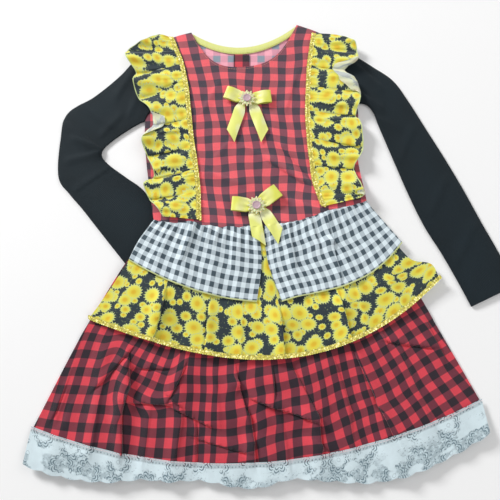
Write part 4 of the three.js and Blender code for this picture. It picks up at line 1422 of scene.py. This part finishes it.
def one_sequin():
    """A round cup of film with a hole's dimple, as a mesh to copy."""
    bpy.ops.object.select_all(action="DESELECT")
    radius = SEQUIN["radius"] * MM
    bpy.ops.mesh.primitive_circle_add(vertices=9, radius=radius, fill_type="TRIFAN")
    disc = bpy.context.object
    centre = min(disc.data.vertices, key=lambda point: point.co.length)
    centre.co.z -= SEQUIN["cup"] * MM
    wall = disc.modifiers.new("film", "SOLIDIFY")
    wall.thickness = SEQUIN["film"] * MM
    bpy.ops.object.modifier_apply(modifier="film")
    return disc


def scatter(name, source, spots, look):
    """One mesh of many copies of a small piece, each turned and set down at its spot."""
    shape = points_of(source.data)
    faces = [tuple(face.vertices) for face in source.data.polygons]
    points, sides = [], []
    for k, (x, y, z, lean_x, lean_y, turn) in enumerate(spots):
        c, s = math.cos(turn), math.sin(turn)
        turned = np.column_stack(
            [shape[:, 0] * c - shape[:, 1] * s, shape[:, 0] * s + shape[:, 1] * c, shape[:, 2]]
        )
        turned[:, 2] += turned[:, 0] * lean_x + turned[:, 1] * lean_y
        points.append(turned + np.array([x + MIDDLE[0], y + MIDDLE[1], z]) * MM)
        sides += [tuple(corner + k * len(shape) for corner in face) for face in faces]
    mesh = bpy.data.meshes.new(name)
    mesh.from_pydata(np.vstack(points), [], sides)
    piece = bpy.data.objects.new(name, mesh)
    bpy.context.collection.objects.link(piece)
    mesh.materials.append(look)
    bpy.data.objects.remove(source, do_unlink=True)
    return piece


def even_steps(x, y, pitch):
    """Shares along a line of places that are a pitch apart."""
    run = np.concatenate([[0], np.cumsum(np.hypot(np.diff(x), np.diff(y)))])
    stops = np.arange(pitch / 2, run[-1], pitch)
    return np.interp(stops, run, np.linspace(0, 1, len(x)))


def sequin_spots(place, height):
    """Two staggered rows down a braid, each sequin leaning on the one before it."""
    lean = math.tan(math.radians(SEQUIN["lean"]))
    steps = even_steps(*place(np.linspace(0, 1, 400), np.full(400, 0.5)), SEQUIN["pitch"])
    spots = []
    for row, share in enumerate((0.2, 0.8)):
        u = np.clip(steps + row * 0.5 * (steps[1] - steps[0]), 0, 1)
        x, y = place(u, np.full_like(u, share))
        z = height(x, y) + SEQUIN["above"]
        sway = np.sin(np.arange(len(u)) * 2.4 + row)
        for k in range(len(u)):
            spots.append((x[k], y[k], z[k], lean * sway[k], lean * (0.6 + 0.4 * sway[k]), 0.7 * k))
    return spots


def seam_place(rows):
    def place(u, v):
        row = table_at(rows, u)
        return row["seam_x"] + TRIM_WIDTH * (v - 0.5), row["seam_y"]

    return place


def on_front(x, y):
    return front_top(x, y) + LAP


def tier_trim_place(u, v):
    x, y = place_on(TIER_ROWS, u, np.ones_like(u))
    return x, y + TIER_TRIM_WIDTH * (1 - v)


def on_tier(x, y):
    sharp = folds_at(TIER_CREASES, x, y, 10) * tier_open(x, y)
    return tier_front_under(x, y) + CLOTH + LAP + np.maximum(sharp, 0)


TRIMS = {
    "trim_left": dict(place=seam_place(even(RUFFLE_LEFT)), height=on_front, length=265),
    "trim_right": dict(place=seam_place(even(RUFFLE_RIGHT)), height=on_front, length=255),
    "trim_tier": dict(place=tier_trim_place, height=on_tier, length=470),
}
for name, trim in TRIMS.items():
    band = lay_cloth(
        name, (220, 4), trim["place"], resting(trim["height"]), strip_cut(trim["length"], 6), (braid,), 0.6
    )
    sew(band, "sequin", name)
    spots = sequin_spots(trim["place"], lambda x, y, height=trim["height"]: height(x, y) + CLOTH)
    sewn = scatter(name + "_sequins", one_sequin(), spots, sequin_film)
    sew(sewn, "sequin")

# Hem lace
# Pale raschel lace with a scalloped edge, sewn over the skirt's hem in front and along it behind.
# Rings of scalloped slits lie round plain discs, with patches of finer net and a sheer band at the top.
LACE_DEPTHS = rows_of(
    "at depth",
    (0, 34),
    (0.08, 33),
    (0.17, 27),
    (0.25, 17),
    (0.31, 15),
    (0.38, 12),
    (0.49, 20),
    (0.57, 14),
    (0.65, 22),
    (0.74, 34),
    (0.82, 38),
    (0.91, 36),
    (1, 31),
)
LACE_LAP = 5
SCALLOPS = dict(count=24, height=2)
LACE_CUT = 560
LACE_WALL = 0.4
LACE_PALE = paint(218, 235, 241)
# The painted shade seen through the lace's holes.
LACE_HOLE_SHADE = paint(112, 138, 150)


def lace_place(lap):
    def place(u, v):
        x, y = place_on(SKIRT_ROWS, u, np.ones_like(u))
        scallop = SCALLOPS["height"] * np.abs(np.sin(math.pi * SCALLOPS["count"] * u))
        picot = 0.5 * np.abs(np.sin(math.pi * SCALLOPS["count"] * 8 * u))
        depth = table_at(LACE_DEPTHS, u)["depth"] + scallop + picot
        return x + 0.12 * (2 * u - 1) * depth * v, mix(y + lap, y - depth, v)

    return place


def lace_under(x, y, u, v):
    wave = 0.8 * np.sin(u * 46) + 0.6 * np.sin(u * 101 + 2)
    skirt = skirt_front_under(x, y) + np.maximum(skirt_sharp(x, y), 0.6 * skirt_sharp(x, y))
    return skirt + CLOTH + LAP + (wave + 1.2) * v * 0.8


def lace_look(name):
    """Dense pale lace with rings of scalloped slits round plain discs, and a sheerer band at its top. The
    slits, net, eyelets, picots and edging are painted dark: painted shade seen through the holes.
    """
    look, shader, across, down = new_look(name, 0.75, 0.3)
    pitch, inner, outer = 33, 6.5, 16
    away, angle, _ = scattered(across / pitch, down / pitch + 0.3, 0.6)
    petal = ((angle * 4.5).sum("SINE")).sum("ABSOLUTE")
    out = away * pitch
    ring = ((out - inner) / 1.5).held() * ((outer - out) / 3).held()
    rows = waves(out - petal * 3, 3.1)
    gaps = ((petal - 0.2) * 6).held()
    clustered = ((fleck(across, down, 24, 14) - 0.4) * 12).held()
    slits = ((rows - 0.25) * 2.4).held() * ring * gaps * clustered
    eyelet = ((1.9 - out).sum("ABSOLUTE") * -2.5 + 1).held()
    dashes = (waves(across, 4.2) * 2).held() * (fleck(across, down, 7, 7) * 2 - 0.5).held()
    picots = dashes * ((1 - (down - 3.8).sum("ABSOLUTE")) * 2).held()
    edging = ((fleck(across, down, 3, 1.6) - 0.6) * 9).held() * ((down - 9) / 6).held() * 0.6
    net = clustered * (ring + (down - 14) / 10).held() * (fleck(across, down, 5, 4) * 3 - 0.7).held()
    # Painted shade: the openings are coloured dark, as the shade seen through them, and made only a quarter
    # transparent.
    painted_hole_shade = (slits + net * 0.4 + eyelet * 0.5 + picots * 0.8 + edging * clustered).held()
    thread = (across * 11).sum("SINE") * (down * 11).sum("SINE")
    shade = thread * 0.04 + fleck(across, down, 9, 9) * 0.16 + 0.88
    painted_hole_shade.between(LACE_PALE, LACE_HOLE_SHADE).shaded(shade).feeds(shader, "Base Color")
    sheer = ((6 - down) / 1.5).held()
    (1 - sheer * 0.36 - painted_hole_shade * 0.25).feeds(shader, "Alpha")
    raise_bump(shader, thread * 0.4 - painted_hole_shade, 0.25, 0.6)
    return look


lace_net = lace_look("hem_lace")


def lace_cut(u, v):
    return LACE_CUT * u, (table_at(LACE_DEPTHS, u)["depth"] + LACE_LAP) * v


lace_front = lay_cloth(
    "lace_front", (720, 14), lace_place(LACE_LAP), lace_under, lace_cut, (lace_net,), LACE_WALL
)
sew(lace_front, "lace", "lace_front")
lace_back = lay_cloth(
    "lace_back", (600, 8), lace_place(-SEAM), resting(skirt_back_under), lace_cut, (lace_net,), LACE_WALL
)
sew(lace_back, "lace", "lace_back")

# Bows
# Lemon satin ribbon in two loops and two slanting tails, pinched at the middle and sewn to the front.
# A translucent cream plastic daisy and a flat mauve button cover the knot.
BOWS = {
    "upper": dict(
        x=-19, y=175, width=17.5, left=dict(turn=161, half=30, tail_x=-40, tail_y=123),
        right=dict(turn=6, half=32, tail_x=4, tail_y=123),
    ),
    "lower": dict(
        x=-7, y=26, width=18, left=dict(turn=175, half=31, tail_x=-4, tail_y=-19),
        right=dict(turn=37, half=34, tail_x=22, tail_y=-13),
    ),
}
RIBBON = dict(
    knot_height=2.6, loop_height=5.6, knot_width=9, tail_start=4.6, tail_width=15, tail_cut=14, curl=1
)
RIBBON_WALL = 0.45
DAISY = dict(radius=12, petals=12, thickness=1)
DAISY_RINGS = rows_of("share width lift turn", (1, 4.6, 0.5, 0), (0.8, 4.2, 1.2, 0.5))
BUTTON = dict(radius=5.2, thickness=1.8, rim=1.1, well=0.5, edge=0.25)
KNOT_REACH = (24, 10)


def satin_look(name, ribbon_colour, painted_highlight):
    """Close satin weave: smooth and glossy, with the faint crosswise ribs of ribbon and broad soft patches of
    painted highlight.
    """
    look, shader, across, down = new_look(name, 0.3)
    shader.inputs["Specular IOR Level"].default_value = 0.6
    shader.inputs["Coat Weight"].default_value = 0.25
    shader.inputs["Coat Roughness"].default_value = 0.35
    rib = (down * 9).sum("SINE")
    shade = fleck(across, down, 8, 14) * 0.1 + rib * 0.015 + 0.93
    # Painted highlight: broad noise patches blend the ribbon's colour towards a pale painted highlight.
    painted_highlight_share = ((fleck(across + down * 0.4, down, 30, 20, 0) - 0.38) * 3).held()
    painted_highlight_share.between(ribbon_colour, painted_highlight).shaded(shade).feeds(shader, "Base Color")
    raise_bump(shader, rib, 0.05, 0.3)
    return look


satin = satin_look("bow_satin", paint(228, 230, 96), paint(250, 250, 176))
# Painted light: the tails' satin is a paler copy of the bow's, with a paler painted highlight, as the lower
# tails lie in brighter light.
tail_satin_painted_light = satin_look("tail_satin_painted_light", paint(236, 239, 130), paint(255, 255, 226))


def ribbon_loop(name, bow, side, z):
    """Half a bow: ribbon that goes out along the top, turns and comes back beneath."""
    loop = bow[side]
    turn = math.radians(loop["turn"])

    def place(u, v):
        bend = math.pi * (v - 0.5)
        along = loop["half"] * np.cos(bend)
        width = mix(RIBBON["knot_width"], bow["width"], smooth(along / 14))
        aside = (u - 0.5) * width
        x = bow["x"] + along * math.cos(turn) - aside * math.sin(turn)
        return x, bow["y"] + along * math.sin(turn) + aside * math.cos(turn)

    def under(x, y, u, v):
        bend = math.pi * (v - 0.5)
        along = loop["half"] * np.cos(bend)
        height = mix(RIBBON["knot_height"], RIBBON["loop_height"], smooth((along - DAISY["radius"]) / 12))
        high = -np.sign(np.sin(bend)) * np.abs(np.sin(bend)) ** 0.6
        pinch = 0.5 * np.cos(5 * math.pi * (u - 0.5)) * (1 - smooth(along / 26)) * (high > 0)
        return z - CLOTH + height / 2 * (1 + high) + pinch

    cut = strip_cut(20, 2.2 * loop["half"])
    return lay_cloth(name, (24, 60), place, under, cut, (satin,), RIBBON_WALL)


def ribbon_tail(name, bow, word, z):
    """A ribbon's end that slants down from the knot, cut askew."""
    side = -1 if word == "left" else 1
    start_x = bow["x"] + side * RIBBON["tail_start"]
    run_x, run_y = bow[word]["tail_x"] - start_x, bow[word]["tail_y"] - bow["y"]
    length = math.hypot(run_x, run_y)

    def place(u, v):
        aside = (u - 0.5) * mix(RIBBON["knot_width"] - 2, RIBBON["tail_width"], smooth(v * 3))
        along = v + side * (0.5 - u) * RIBBON["tail_cut"] * v / length
        x = start_x + along * run_x - aside * run_y / length
        return x, bow["y"] + along * run_y + aside * run_x / length

    def under(x, y, u, v):
        lying = front_top(x, y) + LAP + RIBBON["curl"] * np.sin(math.pi * u)
        ripple = 0.5 * np.sin(9 * v + 2 * u + side) * smooth(v * 2)
        return mix(z, lying, smooth(v * 3)) + ripple + 0.5 * smooth(v * 2)

    return lay_cloth(name, (20, 60), place, under, strip_cut(16, length), (tail_satin_painted_light,), RIBBON_WALL)


def plastic_look(name, colour, through, roughness=0.35):
    """One colour, a little cloudy, with light that passes into it."""
    look, shader, cloud = speckled_look(name, roughness, 260, 2)
    (cloud * 0.18 + 0.91).tints(colour).feeds(shader, "Base Color")
    raise_bump(shader, cloud, 0.08, 0.4)
    shader.inputs["Subsurface Weight"].default_value = through
    shader.inputs["Subsurface Scale"].default_value = 0.002
    return look


daisy_plastic = plastic_look("daisy_plastic", paint(226, 222, 172), 0.3)
button_plastic = plastic_look("button_plastic", paint(196, 168, 176), 0.1, 0.45)


def shift(piece, x, y, z):
    """Moves a finished mesh to its place in the dress and leaves the object at the origin."""
    bpy.ops.object.select_all(action="DESELECT")
    piece.select_set(True)
    bpy.context.view_layer.objects.active = piece
    piece.location = ((x + MIDDLE[0]) * MM, (y + MIDDLE[1]) * MM, z * MM)
    bpy.ops.object.transform_apply(location=True, rotation=True, scale=True)
    return piece


def pointed_petal(length, width, lift, turn):
    """A long oval, drawn to a point at its outer end and ridged along its middle."""
    bpy.ops.object.select_all(action="DESELECT")
    bpy.ops.mesh.primitive_uv_sphere_add(segments=14, ring_count=10, radius=1)
    petal = bpy.context.object
    for point in petal.data.vertices:
        x, y, z = point.co
        point.co.x = (x + 1) / 2 * length * MM
        point.co.y = y * width / 2 * (1 - 0.35 * max(x, 0)) * MM
        point.co.z = (z * 0.5 + lift * ((x + 1) / 2) ** 2 + 0.25 * (1 - abs(y))) * MM
    petal.rotation_euler.z = turn
    bpy.ops.object.transform_apply(location=False, rotation=True, scale=True)
    return petal


def join_all(pieces, name):
    bpy.ops.object.select_all(action="DESELECT")
    for piece in pieces:
        piece.select_set(True)
    bpy.context.view_layer.objects.active = pieces[0]
    bpy.ops.object.join()
    joined = bpy.context.object
    joined.name = name
    return joined


def plastic_daisy(name, bow, z):
    """Two rings of petals, the shorter ones higher and between the longer ones."""
    petals = []
    for k in range(DAISY["petals"]):
        for ring in DAISY_RINGS:
            turn = 2 * math.pi * (k + ring["turn"]) / DAISY["petals"]
            petals.append(pointed_petal(DAISY["radius"] * ring["share"], ring["width"], ring["lift"], turn))
    daisy = join_all(petals, name)
    daisy.data.materials.clear()
    daisy.data.materials.append(daisy_plastic)
    shift(daisy, bow["x"], bow["y"], z + 0.5)
    bpy.ops.object.shade_smooth_by_angle(angle=math.radians(60))
    return daisy


def flat_button(name, bow, z):
    """A turned disc with a raised rim, a shallow well and rounded edges."""
    bpy.ops.object.select_all(action="DESELECT")
    radius, thickness = BUTTON["radius"] * MM, BUTTON["thickness"] * MM
    bpy.ops.mesh.primitive_cylinder_add(vertices=48, radius=radius, depth=thickness)
    button = bpy.context.object
    button.name = name
    bpy.ops.object.mode_set(mode="EDIT")
    bpy.ops.mesh.select_all(action="DESELECT")
    bpy.ops.object.mode_set(mode="OBJECT")
    for face in button.data.polygons:
        face.select = face.normal.z > 0.9
    bpy.ops.object.mode_set(mode="EDIT")
    bpy.ops.mesh.select_mode(type="FACE")
    bpy.ops.mesh.inset(thickness=BUTTON["rim"] * MM, depth=0)
    bpy.ops.mesh.inset(thickness=BUTTON["well"] * MM, depth=-BUTTON["well"] * MM)
    bpy.ops.mesh.select_all(action="DESELECT")
    bpy.ops.object.mode_set(mode="OBJECT")
    edge = button.modifiers.new("edge", "BEVEL")
    edge.width = BUTTON["edge"] * MM
    edge.segments = 3
    edge.angle_limit = math.radians(40)
    bpy.ops.object.modifier_apply(modifier="edge")
    button.data.materials.append(button_plastic)
    shift(button, bow["x"], bow["y"], z + BUTTON["thickness"] / 2)
    bpy.ops.object.shade_smooth_by_angle(angle=math.radians(40))
    return button


for which, bow in BOWS.items():
    steps = np.array([-1, 0, 1])
    near_x, near_y = np.meshgrid(bow["x"] + KNOT_REACH[0] * steps, bow["y"] + KNOT_REACH[1] * steps)
    tail_z = float(np.max(front_top(near_x, near_y))) + SEAM
    loop_z = tail_z + CLOTH + 2 * SEAM
    daisy_z = loop_z + RIBBON["knot_height"] + SEAM
    for side in ("left", "right"):
        node = f"bow_{which}_tail_{side}"
        tail = ribbon_tail(node, bow, side, tail_z)
        sew(tail, "satin", node)
    halves = [ribbon_loop(f"bow_{which}_{side}", bow, side, loop_z) for side in ("left", "right")]
    loops = join_all(halves, f"bow_{which}_loops_cloth")
    sew(loops, "satin", f"bow_{which}_loops")
    daisy = plastic_daisy(f"bow_{which}_daisy_plastic", bow, daisy_z)
    sew(daisy, "daisy", f"bow_{which}_daisy")
    button = flat_button(f"bow_{which}_button_plastic", bow, daisy_z + DAISY["thickness"] + SEAM)
    sew(button, "button", f"bow_{which}_button")

# Stitching
# Fine lockstitch in thread of about the colour of its cloth, sewn by machine: round the front neck, along
# the lower side of the neck binding, and along the top of the hem lace.
STITCH = dict(length=2.3, pitch=3.0, radius=0.22, above=0.1)
NECK_LINE = dict(share=0.97, below=3)


def one_stitch():
    """A short round thread that lies along X, as a mesh to copy."""
    bpy.ops.object.select_all(action="DESELECT")
    bpy.ops.mesh.primitive_cylinder_add(vertices=6, radius=STITCH["radius"] * MM, depth=STITCH["length"] * MM)
    thread = bpy.context.object
    for point in thread.data.vertices:
        point.co = (point.co.z, point.co.x, point.co.y)
    return thread


def stitch_line(name, place, height, look, slot):
    """Stitches a pitch apart on a line, each turned along it and pulled into the cloth."""
    shares = np.linspace(0, 1, 600)
    u = even_steps(*place(shares), STITCH["pitch"])
    x, y = place(u)
    ahead_x, ahead_y = place(np.clip(u + 0.002, 0, 1))
    back_x, back_y = place(np.clip(u - 0.002, 0, 1))
    turn = np.arctan2(ahead_y - back_y, ahead_x - back_x)
    z = height(x, y) + STITCH["above"]
    spots = [(x[k], y[k], z[k], 0, 0, turn[k]) for k in range(len(u))]
    line = scatter(name, one_stitch(), spots, look)
    return sew(line, slot)


neck_thread = plastic_look("neck_thread", paint(214, 150, 140), 0.0, 0.8)
binding_thread = plastic_look("binding_thread", paint(206, 212, 96), 0.0, 0.8)
lace_thread = plastic_look("lace_thread", paint(236, 206, 208), 0.0, 0.8)


def neck_line(u):
    x = NECK["x"] - NECK["half_width"] * NECK_LINE["share"] * np.cos(math.pi * u)
    return x, front_top_edge(x) - NECK_LINE["below"]


stitch_line(
    "neck_stitches", neck_line, lambda x, y: bodice_creased(x, y, 0, 0) + CLOTH, neck_thread, "check"
)
stitch_line(
    "binding_stitches", lambda u: binding_place(u, 0.86),
    lambda x, y: on_back(x, y, 0, 0) + CLOTH + 0.2, binding_thread, "binding",
)
stitch_line(
    "lace_stitches", lambda u: lace_place(LACE_LAP)(u, 0.05),
    lambda x, y: lace_under(x, y, 0, 0) + CLOTH, lace_thread, "lace",
)
